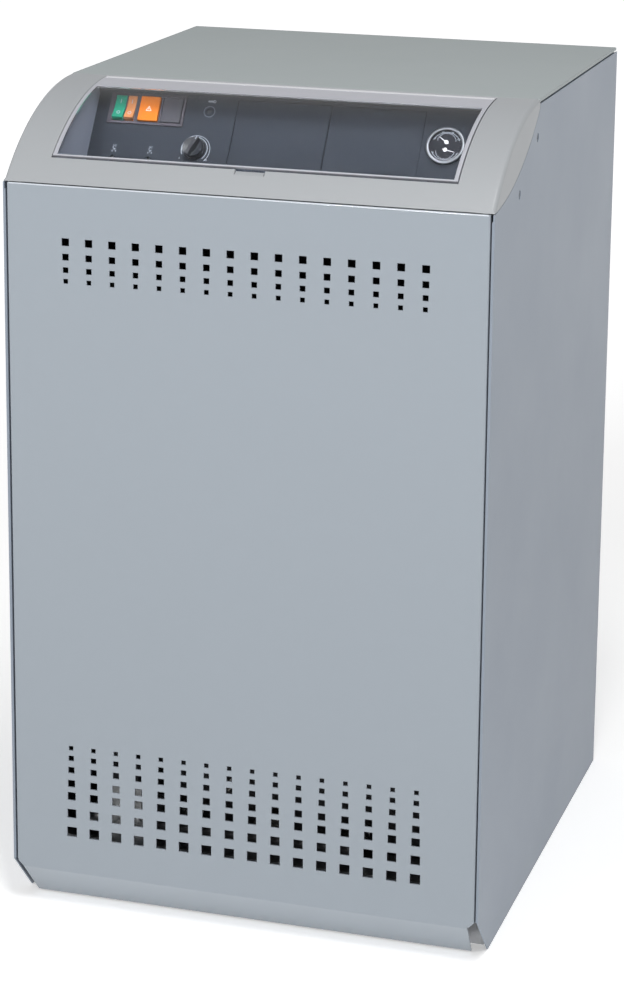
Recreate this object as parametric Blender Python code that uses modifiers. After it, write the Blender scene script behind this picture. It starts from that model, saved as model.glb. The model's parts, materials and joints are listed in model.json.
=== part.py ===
"""Floor-standing gas boiler with an atmospheric burner, as separate parts.

Metres, +Z up. The front faces -Y. The origin is on the floor, under the middle of the whole
object, so a place is given as x, its depth behind the door's front face, and its height z.
"""

import math

import bmesh
import bpy
from mathutils import Matrix, Vector

# Cabinet
HALF_WIDTH = 0.2545  # outer face of a side panel
CABINET_DEPTH = 0.582
CABINET_HEIGHT = 0.867
REAR_STUB = 0.050  # how far the flue spigot stands out at the back
PIPE_STUB = 0.040
FRONT_Y = -(CABINET_DEPTH + REAR_STUB) / 2
SHEET = 0.0015
GAP = 0.0004
BASE_HEIGHT = 0.060

# Door
DOOR_HALF = 0.2504
DOOR_TOP = 0.7829
BEND_Z = 0.0425
KICK_DEPTH = 0.0335
KICK_CLEARANCE = 0.002
DOOR_RETURN = 0.015
CORNER_CUT = 0.007
HOLE_COLUMNS = 16
HOLE_PITCH = 0.025
TOP_ROWS = ((0.7254, 0.008), (0.7100, 0.007), (0.6966, 0.006), (0.6851, 0.005))
BOTTOM_ROWS = (
    (0.1829, 0.005), (0.1715, 0.006), (0.1583, 0.007), (0.1431, 0.008),
    (0.1289, 0.009), (0.1094, 0.010), (0.0887, 0.011),
)
STUD_X, STUD_Z, STUD_RADIUS, STUD_END = 0.225, 0.740, 0.004, 0.030

# Side panels and lid
SIDE_TOP = 0.862
CHAMFER_Z = 0.0495
CHAMFER_DEPTH = 0.0468
HEM_DEPTH, HEM_THICKNESS = 0.016, 0.0011
FLANGE_DEPTH, FLANGE_INNER = 0.018, 0.230
LID_EDGE = 0.0035  # height of the lid's folded edge

# Hood: a quarter-round shell, tangent to the lid
HOOD_RADIUS = 0.250
HOOD_CENTRE = (0.187, CABINET_HEIGHT - HOOD_RADIUS)  # depth, z
HOOD_WALL = 0.003
HOOD_BOTTOM = 0.7840
CHEEK_TOP = (0.187, 0.8575)
CHEEK_SAG = 0.016
OPENING_HALF, OPENING_LOW_DEG = 0.2115, 49.4
OPENING_BACK = 0.1832
NOTCH_HALF, NOTCH_DEPTH = 0.0155, 0.0065
SCREW_PLACES = ((0.179, 0.829), (0.1035, 0.784))  # depth, z
ARC_STEP_DEG = 3.0

# Flap over the controls
FLAP_HALF = 0.2106
FLAP_LOW_DEG = 50.0
PANE_HALF = 0.2066
PANE_LOW_DEG, PANE_HIGH_DEG = 50.45, 79.2
HINGE_DEPTH, HINGE_RADIUS = 0.1795, 0.003
PIN_RADIUS = 0.0015

# Control panel: a plane leaning back, with its own frame (x, up the slope, out of the panel)
PANEL_FOOT = (0.122, 0.790)  # depth and z of the panel frame's origin
PANEL_LEAN_DEG = 34.0
PANEL_WALL = 0.003
RECESS_HALF = 0.212
SWITCH_Y = 0.057
SWITCH_HEIGHT = 0.0284
SWITCHES = {  # middle x and width of each opening in the switch bezel
    "mains": (-0.1862, 0.0124), "season": (-0.1738, 0.0104),
    "fault": (-0.1530, 0.0225), "blank": (-0.1283, 0.0225),
}
ROCKER_PIVOT_Z, ROCKER_TILT_DEG = -0.0035, 8.0
KNOB = (-0.0960, 0.0158)
RESET = (-0.0880, 0.0590)
GAUGE = (0.1685, 0.0365)
GAUGE_RADIUS = 0.0206
HUB_OFFSET = 0.0042
SEAMS = (-0.0590, 0.0425, 0.143)
BLANK_LOW, BLANK_HIGH = -0.030, 0.0735
SYMBOL_HOLES = ((-0.1842, 0.0022), (-0.1446, 0.0025))

# Boiler body
SECTION_PITCH, SECTION_THICKNESS = 0.094, 0.084
SECTION_FRONT, SECTION_BACK = 0.120, 0.500
SECTION_LOW, SECTION_HIGH = 0.192, 0.640
BURNER_Z = 0.080
BURNER_X = (-0.094, 0.0, 0.094)
MANIFOLD_DEPTH = 0.066
VALVE_X = -0.146
GAS_PIPE_X, GAS_PIPE_RADIUS = -0.215, 0.01065
WATER_X, WATER_RADIUS, WATER_BORE = 0.141, 0.01685, 0.0130
FLOW_Z, RETURN_Z = 0.600, 0.235
RIB_PITCH, RIB_WIDTH, SECTION_CORE, RIB_SLOTS = 0.032, 0.005, 0.012, 11
COLLECTOR_FRONT, COLLECTOR_BACK = 0.200, 0.540
COLLECTOR_LOW, COLLECTOR_HIGH = SECTION_HIGH + GAP, 0.790
FLUE_Z, FLUE_RADIUS, FLUE_WALL = 0.7155, 0.065, 0.002
GLAND = (-0.150, 0.560)
DRAIN = (0.150, 0.215)

SIDEWAYS = (math.pi / 2, 0, math.pi / 2)  # an outline drawn as (depth, z), thick along X
ALONG_Y = (-math.pi / 2, 0, 0)  # a turned shape whose own Z becomes +Y


# Scene and materials


def clear_scene():
    for old in list(bpy.data.objects):
        bpy.data.objects.remove(old, do_unlink=True)


clear_scene()
parts = bpy.data.collections.new("gas_boiler")
helpers = bpy.data.collections.new("cutters")
for collection in (parts, helpers):
    bpy.context.scene.collection.children.link(collection)


def finish(name, colour, roughness, metallic=0.0, alpha=1.0):
    made = bpy.data.materials.new(name)
    made.use_nodes = True
    shader = made.node_tree.nodes["Principled BSDF"]
    shader.inputs["Base Color"].default_value = (*colour, 1)
    shader.inputs["Roughness"].default_value = roughness
    shader.inputs["Metallic"].default_value = metallic
    shader.inputs["Alpha"].default_value = alpha
    return made


DOOR_PAINT = finish("door_paint", (0.42, 0.48, 0.54), 0.35, 0.2)
SIDE_PAINT = finish("side_paint", (0.36, 0.41, 0.46), 0.40, 0.2)
LID_PAINT = finish("lid_paint", (0.38, 0.40, 0.42), 0.40, 0.2)
HOOD_PLASTIC = finish("hood_plastic", (0.46, 0.48, 0.50), 0.45)
DARK_PLASTIC = finish("dark_plastic", (0.08, 0.09, 0.11), 0.50)
BLACK_PLASTIC = finish("black_plastic", (0.02, 0.02, 0.02), 0.40)
CLEAR_PLASTIC = finish("clear_plastic", (0.90, 0.92, 0.92), 0.05, 0.0, 0.25)
GREEN_LENS = finish("green_lens", (0.05, 0.45, 0.28), 0.20)
AMBER_LENS = finish("amber_lens", (0.50, 0.20, 0.07), 0.25)
ORANGE_LENS = finish("orange_lens", (0.80, 0.26, 0.02), 0.20)
CHROME = finish("chrome", (0.80, 0.80, 0.80), 0.10, 1.0)
WHITE_PAINT = finish("white_paint", (0.85, 0.85, 0.85), 0.50)
ZINC = finish("zinc", (0.55, 0.56, 0.58), 0.40, 1.0)
CAST_IRON = finish("cast_iron", (0.07, 0.07, 0.07), 0.80, 0.6)
BRASS = finish("brass", (0.70, 0.50, 0.20), 0.30, 1.0)
ALUMINIUM = finish("aluminium", (0.60, 0.61, 0.62), 0.45, 1.0)
STAINLESS = finish("stainless", (0.50, 0.50, 0.50), 0.35, 1.0)
MINERAL_WOOL = finish("mineral_wool", (0.50, 0.47, 0.35), 0.95)
CERAMIC = finish("ceramic", (0.85, 0.83, 0.78), 0.40)
RED_PLASTIC = finish("red_plastic", (0.50, 0.04, 0.03), 0.40)


# Shapes


def at(x, depth, z):
    return Vector((x, FRONT_Y + depth, z))


def add(name, mesh, paint, location, rotation=(0, 0, 0), parent=None):
    made = bpy.data.objects.new(name, mesh)
    parts.objects.link(made)
    made.location = location
    made.rotation_euler = rotation
    made.parent = parent
    mesh.materials.append(paint)
    return made


def mesh_of(name, shape):
    bmesh.ops.recalc_face_normals(shape, faces=shape.faces)
    mesh = bpy.data.meshes.new(name)
    shape.to_mesh(mesh)
    shape.free()
    return mesh


def box(name, paint, low, high, parent=None, bevel=0.0):
    """A block between two corners, with its origin in its middle."""
    low, high = Vector(low), Vector(high)
    shape = bmesh.new()
    bmesh.ops.create_cube(shape, size=1, matrix=Matrix.Diagonal((*(high - low), 1)))
    made = add(name, mesh_of(name, shape), paint, (low + high) / 2, parent=parent)
    if bevel:
        rounding = made.modifiers.new("rounding", "BEVEL")
        rounding.width = bevel
        rounding.segments = 2
    return made


def block(name, paint, x, depth, z, bevel=0.0):
    """A box from its spans in x, depth and z."""
    return box(name, paint, at(x[0], depth[0], z[0]), at(x[1], depth[1], z[1]), bevel=bevel)


def rod(name, paint, start, end, radius, sides=20, parent=None):
    """A round bar between two points."""
    start, end = Vector(start), Vector(end)
    shape = bmesh.new()
    bmesh.ops.create_cone(
        shape, cap_ends=True, segments=sides, radius1=radius, radius2=radius,
        depth=(end - start).length,
    )
    turn = Vector((0, 0, 1)).rotation_difference(end - start).to_euler()
    made = add(name, mesh_of(name, shape), paint, (start + end) / 2, turn, parent)
    smooth(made)
    return made


def smooth(made):
    made.data.shade_smooth()
    made.data.set_sharp_from_angle(angle=math.radians(40))


def turned(name, paint, profile, location, rotation=(0, 0, 0), sides=28, parent=None):
    """A turned piece from (radius, height) points that run down its outer side."""
    mesh = bpy.data.meshes.new(name)
    made = add(name, mesh, paint, location, rotation, parent)
    shape = bmesh.new()
    points = [shape.verts.new((radius, 0, height)) for radius, height in profile]
    closed = profile[0][0] > 0
    for first, second in zip(points, points[1:] + points[:1] if closed else points[1:]):
        shape.edges.new((first, second))
    shape.to_mesh(mesh)
    shape.free()
    spin = made.modifiers.new("spin", "SCREW")
    spin.axis = "Z"
    spin.steps = spin.render_steps = sides
    spin.use_merge_vertices = True
    spin.merge_threshold = 0.00001
    spin.use_smooth_shade = True
    return made


def outline(name, paint, points, thickness, location, rotation=(0, 0, 0), parent=None):
    """A flat outline, thick to both sides of its plane."""
    curve = bpy.data.curves.new(name, "CURVE")
    curve.dimensions = "2D"
    curve.fill_mode = "BOTH"
    curve.extrude = thickness / 2
    spline = curve.splines.new("POLY")
    spline.points.add(len(points) - 1)
    for point, (first, second) in zip(spline.points, points):
        point.co = (first, second, 0, 1)
    spline.use_cyclic_u = True
    return add(name, curve_mesh(name, curve), paint, location, rotation, parent)


def curve_mesh(name, curve):
    """The closed mesh of a curve, with its caps welded on."""
    guide = bpy.data.objects.new(name, curve)
    parts.objects.link(guide)
    graph = bpy.context.evaluated_depsgraph_get()
    made = bpy.data.meshes.new_from_object(guide.evaluated_get(graph))
    bpy.data.objects.remove(guide)
    bpy.data.curves.remove(curve)
    made.materials.clear()
    shape = bmesh.new()
    shape.from_mesh(made)
    bpy.data.meshes.remove(made)
    bmesh.ops.remove_doubles(shape, verts=shape.verts, dist=0.000001)
    return mesh_of(name, shape)


def tube(name, paint, points, radius):
    """A round pipe along a list of points."""
    curve = bpy.data.curves.new(name, "CURVE")
    curve.dimensions = "3D"
    curve.bevel_depth = radius
    curve.bevel_resolution = 3
    curve.use_fill_caps = True
    spline = curve.splines.new("POLY")
    spline.points.add(len(points) - 1)
    for point, place in zip(spline.points, points):
        point.co = (*place, 1)
    made = add(name, curve_mesh(name, curve), paint, (0, 0, 0))
    smooth(made)
    return made


def combine(target, operation, tools):
    for tool in tools:
        parts.objects.unlink(tool)
        helpers.objects.link(tool)
        tool.hide_render = True
        tool.display_type = "WIRE"
        change = target.modifiers.new(tool.name, "BOOLEAN")
        change.operation = operation
        change.object = tool
    return target


def join(target, *tools):
    return combine(target, "UNION", tools)


def cut(target, *tools):
    return combine(target, "DIFFERENCE", tools)


def arc(centre, radius, start_deg, end_deg, step_deg=ARC_STEP_DEG):
    """Points on a circle, from one angle to another."""
    count = max(1, round(abs(end_deg - start_deg) / step_deg))
    angles = [start_deg + (end_deg - start_deg) * i / count for i in range(count + 1)]
    return [
        (centre[0] + radius * math.cos(math.radians(a)), centre[1] + radius * math.sin(math.radians(a)))
        for a in angles
    ]


def hood_arc(radius, low_deg, high_deg):
    """Points on the hood's circle as (depth, z); an angle counts up from the front."""
    return arc(HOOD_CENTRE, radius, 180 - low_deg, 180 - high_deg)


def hood_angle(radius, z):
    return math.degrees(math.asin((z - HOOD_CENTRE[1]) / radius))


def ring_sector(inner, outer, low_deg, high_deg):
    step = 12.0
    return arc((0, 0), outer, low_deg, high_deg, step) + arc((0, 0), inner, high_deg, low_deg, step)


def rounded_rectangle(low, high, radius):
    (x0, y0), (x1, y1) = low, high
    corners = ((x1, y1, 0), (x0, y1, 90), (x0, y0, 180), (x1, y0, 270))
    points = []
    for x, y, turn in corners:
        centre = (x - radius if x == x1 else x + radius, y - radius if y == y1 else y + radius)
        points += arc(centre, radius, turn, turn + 90, 30)
    return points


def on_side(side, inner, outer):
    """The x span of a piece that the left side mirrors."""
    return sorted((side * inner, side * outer))


# Cabinet


def base_frame():
    inner = HALF_WIDTH - 0.0065
    front, back = 0.055, 0.570
    wall, lip = 0.0025, 0.030
    frame = block("base_frame", ZINC, (-inner, inner), (front, back), (0, BASE_HEIGHT))
    return cut(
        frame,
        block("base_hollow", ZINC, (wall - inner, inner - wall), (front + wall, back - wall),
              (wall, BASE_HEIGHT - wall)),
        block("base_floor_cut", ZINC, (lip - inner, inner - lip), (front + lip, back - lip),
              (-wall, 2 * wall)),
        block("base_top_cut", ZINC, (-0.165, 0.165), (0.140, 0.475),
              (BASE_HEIGHT - 2 * wall, BASE_HEIGHT + wall)),
    )


def cheek_circle():
    """Centre and radius of the curve between the hood's cheek and the side panel."""
    bottom = (HOOD_CENTRE[0] - math.sqrt(HOOD_RADIUS**2 - (HOOD_BOTTOM - HOOD_CENTRE[1]) ** 2), HOOD_BOTTOM)
    first, second = Vector(bottom), Vector(CHEEK_TOP)
    chord = second - first
    radius = (chord.length**2 / 4 + CHEEK_SAG**2) / (2 * CHEEK_SAG)
    up = Vector((-chord.y, chord.x)).normalized()
    centre = (first + second) / 2 + up * (radius - CHEEK_SAG)
    return centre, radius


def cheek_edge(offset):
    """The cheek's lower edge from its top to its bottom, moved outwards by an offset."""
    centre, radius = cheek_circle()
    radius += offset
    top = math.degrees(math.atan2(CHEEK_TOP[1] - centre.y, CHEEK_TOP[0] - centre.x))
    bottom = math.degrees(math.asin((HOOD_BOTTOM - centre.y) / radius))
    return arc(tuple(centre), radius, top, bottom, 4.0)


def side_panel(name, side):
    seam = cheek_edge(0.0006)
    points = [
        (0, CHAMFER_Z), (CHAMFER_DEPTH, 0), (CABINET_DEPTH, 0), (CABINET_DEPTH, SIDE_TOP),
        (CHEEK_TOP[0] + 0.0008, SIDE_TOP), (CHEEK_TOP[0] + 0.0008, seam[0][1]),
    ] + [p for p in seam if p[0] > 0] + [(0, HOOD_BOTTOM - 0.001)]
    panel = outline(name, SIDE_PAINT, points, SHEET,
                    at(side * (HALF_WIDTH - SHEET / 2), 0, 0), SIDEWAYS)
    skin = HALF_WIDTH - SHEET / 2
    inner = HALF_WIDTH - SHEET
    hem_top = 0.776
    join(
        panel,
        block(name + "_hem", SIDE_PAINT, on_side(side, inner - HEM_THICKNESS, skin),
              (0.0001, HEM_DEPTH), (CHAMFER_Z + 0.0006, hem_top)),
        block(name + "_door_flange", SIDE_PAINT, on_side(side, FLANGE_INNER, skin),
              (FLANGE_DEPTH, FLANGE_DEPTH + SHEET), (CHAMFER_Z, hem_top)),
        block(name + "_lid_flange", SIDE_PAINT, on_side(side, 0.236, skin),
              (0.212, 0.574), (SIDE_TOP - SHEET, SIDE_TOP - 0.0001)),
        block(name + "_rear_flange", SIDE_PAINT, on_side(side, 0.236, skin),
              (0.575, 0.575 + SHEET), (BASE_HEIGHT + 0.002, SIDE_TOP - 0.0002)),
    )
    for i, (depth, z) in enumerate(SCREW_PLACES):
        cut(panel, rod(f"{name}_hole_{i}", SIDE_PAINT, at(side * 0.250, depth, z),
                       at(side * 0.257, depth, z), 0.0046, 20))
    return panel


def rear_panel():
    half = HALF_WIDTH - SHEET - GAP
    depth = (0.5775, 0.5775 + SHEET)
    panel = block("rear_panel", SIDE_PAINT, (-half, half), depth, (0.003, SIDE_TOP - 0.001))
    holes = (
        ("flue", 0, FLUE_Z, FLUE_RADIUS + 0.003, 36),
        ("flow", WATER_X, FLOW_Z, WATER_RADIUS + 0.002, 20),
        ("return", WATER_X, RETURN_Z, WATER_RADIUS + 0.002, 20),
        ("gas", GAS_PIPE_X, BURNER_Z, GAS_PIPE_RADIUS + 0.002, 20),
        ("gland", GLAND[0], GLAND[1], 0.0083, 20),
    )
    for name, x, z, radius, sides in holes:
        cut(panel, rod(f"rear_{name}_hole", SIDE_PAINT, at(x, 0.570, z), at(x, 0.586, z), radius, sides))
    return panel


def lid():
    half = HALF_WIDTH - 0.0008
    front, back = HOOD_CENTRE[0] + 0.0006, CABINET_DEPTH - 0.001
    low = CABINET_HEIGHT - LID_EDGE
    plate = block("lid", LID_PAINT, (-half, half), (front, back), (low, CABINET_HEIGHT))
    cut(plate, block("lid_hollow", LID_PAINT, (SHEET - half, half - SHEET),
                     (front + SHEET, back - SHEET), (low - SHEET, CABINET_HEIGHT - SHEET)))
    for side in (-1, 1):
        join(plate, block(f"lid_rib_{side}", LID_PAINT, on_side(side, 0.2375, 0.2455),
                          (0.220, 0.570), (SIDE_TOP + 0.0005, CABINET_HEIGHT - SHEET / 2)))
    return plate


def front_door():
    """One folded sheet: face, side and top returns, and the sloped kick flange."""
    shape = bmesh.new()
    low, cut_x = BEND_Z + CORNER_CUT, DOOR_HALF - CORNER_CUT
    rim = ((DOOR_HALF, low), (DOOR_HALF, DOOR_TOP), (-DOOR_HALF, DOOR_TOP), (-DOOR_HALF, low))
    front = [shape.verts.new(at(x, 0, z)) for x, z in rim]
    back = [shape.verts.new(at(x, DOOR_RETURN, z)) for x, z in rim]
    bend = [shape.verts.new(at(x, 0, BEND_Z)) for x in (-cut_x, cut_x)]
    kick = [shape.verts.new(at(x, KICK_DEPTH, KICK_CLEARANCE)) for x in (0.003 - cut_x, cut_x - 0.003)]
    shape.faces.new([bend[0], bend[1], *front])
    for i in range(3):
        shape.faces.new([front[i + 1], front[i], back[i], back[i + 1]])
    shape.faces.new([bend[1], bend[0], kick[0], kick[1]])
    bmesh.ops.recalc_face_normals(shape, faces=shape.faces)
    mesh = bpy.data.meshes.new("front_door")
    shape.to_mesh(mesh)
    shape.free()
    door = add("front_door", mesh, DOOR_PAINT, (0, 0, 0))
    if door.data.polygons[0].normal.y > 0:
        door.data.flip_normals()
    shell = door.modifiers.new("sheet", "SOLIDIFY")
    shell.thickness = SHEET
    shell.offset = -1
    shell.use_even_offset = True
    for side in (-1, 1):
        join(door, rod(f"door_stud_{side}", DOOR_PAINT, at(side * STUD_X, SHEET / 2, STUD_Z),
                       at(side * STUD_X, STUD_END, STUD_Z), STUD_RADIUS, 12))
    return cut(door, perforations())


def perforations():
    """Every square hole of the door, as one cutter."""
    shape = bmesh.new()
    for z, size in TOP_ROWS + BOTTOM_ROWS:
        for column in range(HOLE_COLUMNS):
            x = (column - (HOLE_COLUMNS - 1) / 2) * HOLE_PITCH
            place = Matrix.Translation(at(x, 0, z))
            scale = Matrix.Diagonal((size, 6 * SHEET, size, 1))
            bmesh.ops.create_cube(shape, size=1, matrix=place @ scale)
    return add("door_perforations", mesh_of("door_perforations", shape), DOOR_PAINT, (0, 0, 0))


def door_catch(name, side):
    catch = block(name, BLACK_PLASTIC, on_side(side, 0.213, 0.237),
                  (FLANGE_DEPTH + SHEET + GAP, 0.034), (STUD_Z - 0.011, STUD_Z + 0.011), 0.001)
    return cut(catch, rod(name + "_bore", BLACK_PLASTIC, at(side * STUD_X, 0.010, STUD_Z),
                          at(side * STUD_X, 0.040, STUD_Z), STUD_RADIUS + 0.0006, 16))


def hood():
    wall = HOOD_RADIUS - HOOD_WALL
    points = hood_arc(HOOD_RADIUS, hood_angle(HOOD_RADIUS, HOOD_BOTTOM), 90)
    points += reversed(hood_arc(wall, hood_angle(wall, HOOD_BOTTOM), 90))
    shell = outline("hood", HOOD_PLASTIC, points, 2 * HALF_WIDTH, at(0, 0, 0), SIDEWAYS)
    hinge_z = hinge_height()
    join(
        shell,
        block("hood_riser", HOOD_PLASTIC, (-0.246, 0.246), (0.1836, 0.1868), (0.8605, 0.8660)),
        block("hood_ledge", HOOD_PLASTIC, (-0.246, 0.246), (0.1838, 0.2100), (0.8600, 0.8630)),
    )
    for side in (-1, 1):
        cheek = hood_arc(HOOD_RADIUS - 0.0002, hood_angle(HOOD_RADIUS, HOOD_BOTTOM) + 0.4, 89.9)
        cheek += cheek_edge(0)
        join(shell, outline(f"hood_cheek_{side}", HOOD_PLASTIC, cheek, HOOD_WALL - 0.0001,
                            at(side * (HALF_WIDTH - HOOD_WALL / 2 - 0.00005), 0, 0), SIDEWAYS))
        for i, (depth, z) in enumerate(SCREW_PLACES):
            top = (0.8585, 0.8250)[i]
            join(shell, block(f"hood_lug_{side}_{i}", HOOD_PLASTIC, on_side(side, 0.2478, 0.2524),
                              (depth - 0.008, depth + (0.0075, 0.008)[i]), (z - 0.008, top)))
        join(shell, block(f"hood_boss_{side}", HOOD_PLASTIC, on_side(side, OPENING_HALF + 0.0001, 0.2220),
                          (HINGE_DEPTH - 0.005, HINGE_DEPTH + 0.005), (hinge_z - 0.005, hinge_z + 0.0015)))
    back_deg = math.degrees(math.acos((HOOD_CENTRE[0] - OPENING_BACK) / HOOD_RADIUS))
    hole = hood_arc(HOOD_RADIUS + 0.010, OPENING_LOW_DEG, back_deg)
    hole += reversed(hood_arc(HOOD_RADIUS - 0.010, OPENING_LOW_DEG, back_deg))
    cut(shell, outline("hood_opening", HOOD_PLASTIC, hole, 2 * OPENING_HALF, at(0, 0, 0), SIDEWAYS))
    notch_low = OPENING_LOW_DEG - math.degrees(NOTCH_DEPTH / HOOD_RADIUS)
    notch = hood_arc(HOOD_RADIUS + 0.004, notch_low, OPENING_LOW_DEG + 1)
    notch += reversed(hood_arc(HOOD_RADIUS - 0.0015, notch_low, OPENING_LOW_DEG + 1))
    cut(shell, outline("hood_notch", HOOD_PLASTIC, notch, 2 * NOTCH_HALF, at(0, 0, 0), SIDEWAYS))
    for side in (-1, 1):
        cut(shell, rod(f"hood_pin_hole_{side}", HOOD_PLASTIC, at(side * 0.2090, HINGE_DEPTH, hinge_z),
                       at(side * 0.2190, HINGE_DEPTH, hinge_z), PIN_RADIUS + 0.0001, 24))
        for i, (depth, z) in enumerate(SCREW_PLACES):
            cut(shell, rod(f"hood_screw_hole_{side}_{i}", HOOD_PLASTIC, at(side * 0.2450, depth, z),
                           at(side * 0.2530, depth, z), 0.0023, 12))
    return shell


def hinge_height():
    """The flap's axis lies one bead radius under the hood's surface."""
    reach = HOOD_CENTRE[0] - HINGE_DEPTH
    return HOOD_CENTRE[1] + math.sqrt(HOOD_RADIUS**2 - reach**2) - HINGE_RADIUS


def hood_screw(name, side, depth, z):
    profile = [(0, 0.0017), (0.0022, 0.0015), (0.0036, 0.0009), (0.0042, 0), (0.0019, 0),
               (0.0019, -0.0075), (0, -0.0075)]
    turn = (0, side * math.pi / 2, 0)
    return turned(name, ZINC, profile, at(side * 0.2527, depth, z), turn, 16)


# Flap over the controls


def flap_frame():
    inner = HOOD_RADIUS - HOOD_WALL
    high = math.degrees(math.acos((HOOD_CENTRE[0] - HINGE_DEPTH) / HOOD_RADIUS))
    points = hood_arc(HOOD_RADIUS, FLAP_LOW_DEG, high)
    points += reversed(hood_arc(inner, FLAP_LOW_DEG, high))
    hinge_z = hinge_height()
    frame = outline("flap_frame", HOOD_PLASTIC, points, 2 * FLAP_HALF, at(0, 0, 0), SIDEWAYS)
    join(frame, rod("flap_bead", HOOD_PLASTIC, at(-FLAP_HALF + 0.0001, HINGE_DEPTH, hinge_z),
                    at(FLAP_HALF - 0.0001, HINGE_DEPTH, hinge_z), HINGE_RADIUS, 20))
    hole = hood_arc(HOOD_RADIUS + 0.006, PANE_LOW_DEG, PANE_HIGH_DEG)
    hole += reversed(hood_arc(inner - 0.006, PANE_LOW_DEG, PANE_HIGH_DEG))
    cut(frame, outline("flap_hole", HOOD_PLASTIC, hole, 2 * PANE_HALF, at(0, 0, 0), SIDEWAYS))
    for side in (-1, 1):
        cut(frame, rod(f"flap_pin_hole_{side}", HOOD_PLASTIC, at(side * 0.2035, HINGE_DEPTH, hinge_z),
                       at(side * 0.2120, HINGE_DEPTH, hinge_z), PIN_RADIUS + 0.0001, 24))
    return frame


def flap_pane():
    margin = math.degrees(0.0003 / HOOD_RADIUS)
    outer, inner = HOOD_RADIUS - 0.0003, HOOD_RADIUS - 0.0025
    points = hood_arc(outer, PANE_LOW_DEG + margin, PANE_HIGH_DEG - margin)
    points += reversed(hood_arc(inner, PANE_LOW_DEG + margin, PANE_HIGH_DEG - margin))
    return outline("flap_pane", CLEAR_PLASTIC, points, 2 * (PANE_HALF - 0.0003), at(0, 0, 0), SIDEWAYS)


def flap_pin(name, side):
    hinge_z = hinge_height()
    return rod(name, ZINC, at(side * 0.2040, HINGE_DEPTH, hinge_z),
               at(side * 0.2185, HINGE_DEPTH, hinge_z), PIN_RADIUS, 24)


# Control panel


def panel_frame():
    """An empty on the panel's face: x across, y up the slope, z out of the panel."""
    made = bpy.data.objects.new("panel_frame", None)
    parts.objects.link(made)
    made.location = at(0, *PANEL_FOOT)
    made.rotation_euler = (math.radians(90 - PANEL_LEAN_DEG), 0, 0)
    return made


def on_panel(up, out=0.0):
    """Depth and z of a point of the panel plane, moved out of it."""
    lean = math.radians(PANEL_LEAN_DEG)
    return (
        PANEL_FOOT[0] + up * math.sin(lean) - out * math.cos(lean),
        PANEL_FOOT[1] + up * math.cos(lean) + out * math.sin(lean),
    )


def control_panel(panel):
    """A tray under the hood: sloped panel, floor and side walls, open towards the window."""
    rim = HOOD_RADIUS - HOOD_WALL - 0.0006
    low_deg, high_deg = 43.4, 84.6
    foot = -0.046
    outer = hood_arc(rim, low_deg, high_deg) + [on_panel(0.0745, -PANEL_WALL), on_panel(foot, -PANEL_WALL)]
    inner = hood_arc(HOOD_RADIUS + 0.010, low_deg + 1.2, 88.0) + [on_panel(0.0900), on_panel(foot + 0.003)]
    tray = outline("control_panel", DARK_PLASTIC, outer, 2 * (RECESS_HALF + PANEL_WALL),
                   at(0, 0, 0), SIDEWAYS)
    cut(tray, outline("recess", DARK_PLASTIC, inner, 2 * RECESS_HALF, at(0, 0, 0), SIDEWAYS))
    low, high = switch_body()
    cut(tray, box("switch_hole", DARK_PLASTIC, (low[0] - GAP, low[1] - GAP, -0.020),
                  (high[0] + GAP, high[1] + GAP, 0.010), panel))
    for i in range(2):
        low, high = blank_plate_span(i)
        cut(tray, box(f"blank_hole_{i}", DARK_PLASTIC, (low[0] - GAP, low[1] - GAP, -0.010),
                      (high[0] + GAP, high[1] + GAP, 0.010), panel))
    rounds = [(*KNOB, 0.0036), (*RESET, 0.0036), (*GAUGE, 0.0190)]
    rounds += [(*place, 0.0020) for place in SYMBOL_HOLES]
    for i, (x, y, radius) in enumerate(rounds):
        cut(tray, rod(f"panel_hole_{i}", DARK_PLASTIC, (x, y, -0.010), (x, y, 0.010), radius,
                      28 if radius > 0.01 else 12, panel))
    return tray


def switch_body():
    """Corners of the bezel's body, which passes through the panel."""
    half = SWITCH_HEIGHT / 2 + 0.0012
    left = SWITCHES["mains"][0] - SWITCHES["mains"][1] / 2 - 0.0012
    right = SWITCHES["blank"][0] + SWITCHES["blank"][1] / 2 + 0.0012
    return (left, SWITCH_Y - half), (right, SWITCH_Y + half)


def switch_bezel(panel):
    low, high = switch_body()
    bezel = box("switch_bezel", BLACK_PLASTIC, (low[0], low[1], -0.0125), (high[0], high[1], 0.0012), panel)
    join(bezel, box("bezel_rim", BLACK_PLASTIC, (low[0] - 0.0040, low[1] - 0.0020, GAP),
                    (high[0] + 0.0016, high[1] + 0.0020, 0.0018), panel))
    for name, (x, width) in SWITCHES.items():
        half_x, half_y = width / 2, SWITCH_HEIGHT / 2
        cut(bezel, box(f"bezel_{name}_hole", BLACK_PLASTIC, (x - half_x, SWITCH_Y - half_y, -0.020),
                       (x + half_x, SWITCH_Y + half_y, 0.010), panel))
    return bezel


def rocker(name, which, paint, panel):
    """A shallow V that rocks about its pivot, tilted to its off side."""
    x, width = SWITCHES[which]
    half, edge, middle = 0.0130, 0.0072, 0.0054
    points = [(-half, edge), (-half, -0.0005), (-0.0040, -0.0040), (0.0040, -0.0040),
              (half, -0.0005), (half, edge), (0, middle)]
    turn = (Matrix.Rotation(math.radians(-ROCKER_TILT_DEG), 4, "X")
            @ Matrix.Rotation(math.pi / 2, 4, "Z") @ Matrix.Rotation(math.pi / 2, 4, "X"))
    pivot = (x, SWITCH_Y, ROCKER_PIVOT_Z)
    return outline(name, paint, points, width - 0.0008, pivot, turn.to_euler(), panel)


def push_button(name, which, paint, back, front, panel):
    x, width = SWITCHES[which]
    half_x, half_y = width / 2 - GAP, SWITCH_HEIGHT / 2 - GAP
    return box(name, paint, (x - half_x, SWITCH_Y - half_y, back), (x + half_x, SWITCH_Y + half_y, front),
               panel, 0.0008)


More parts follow.
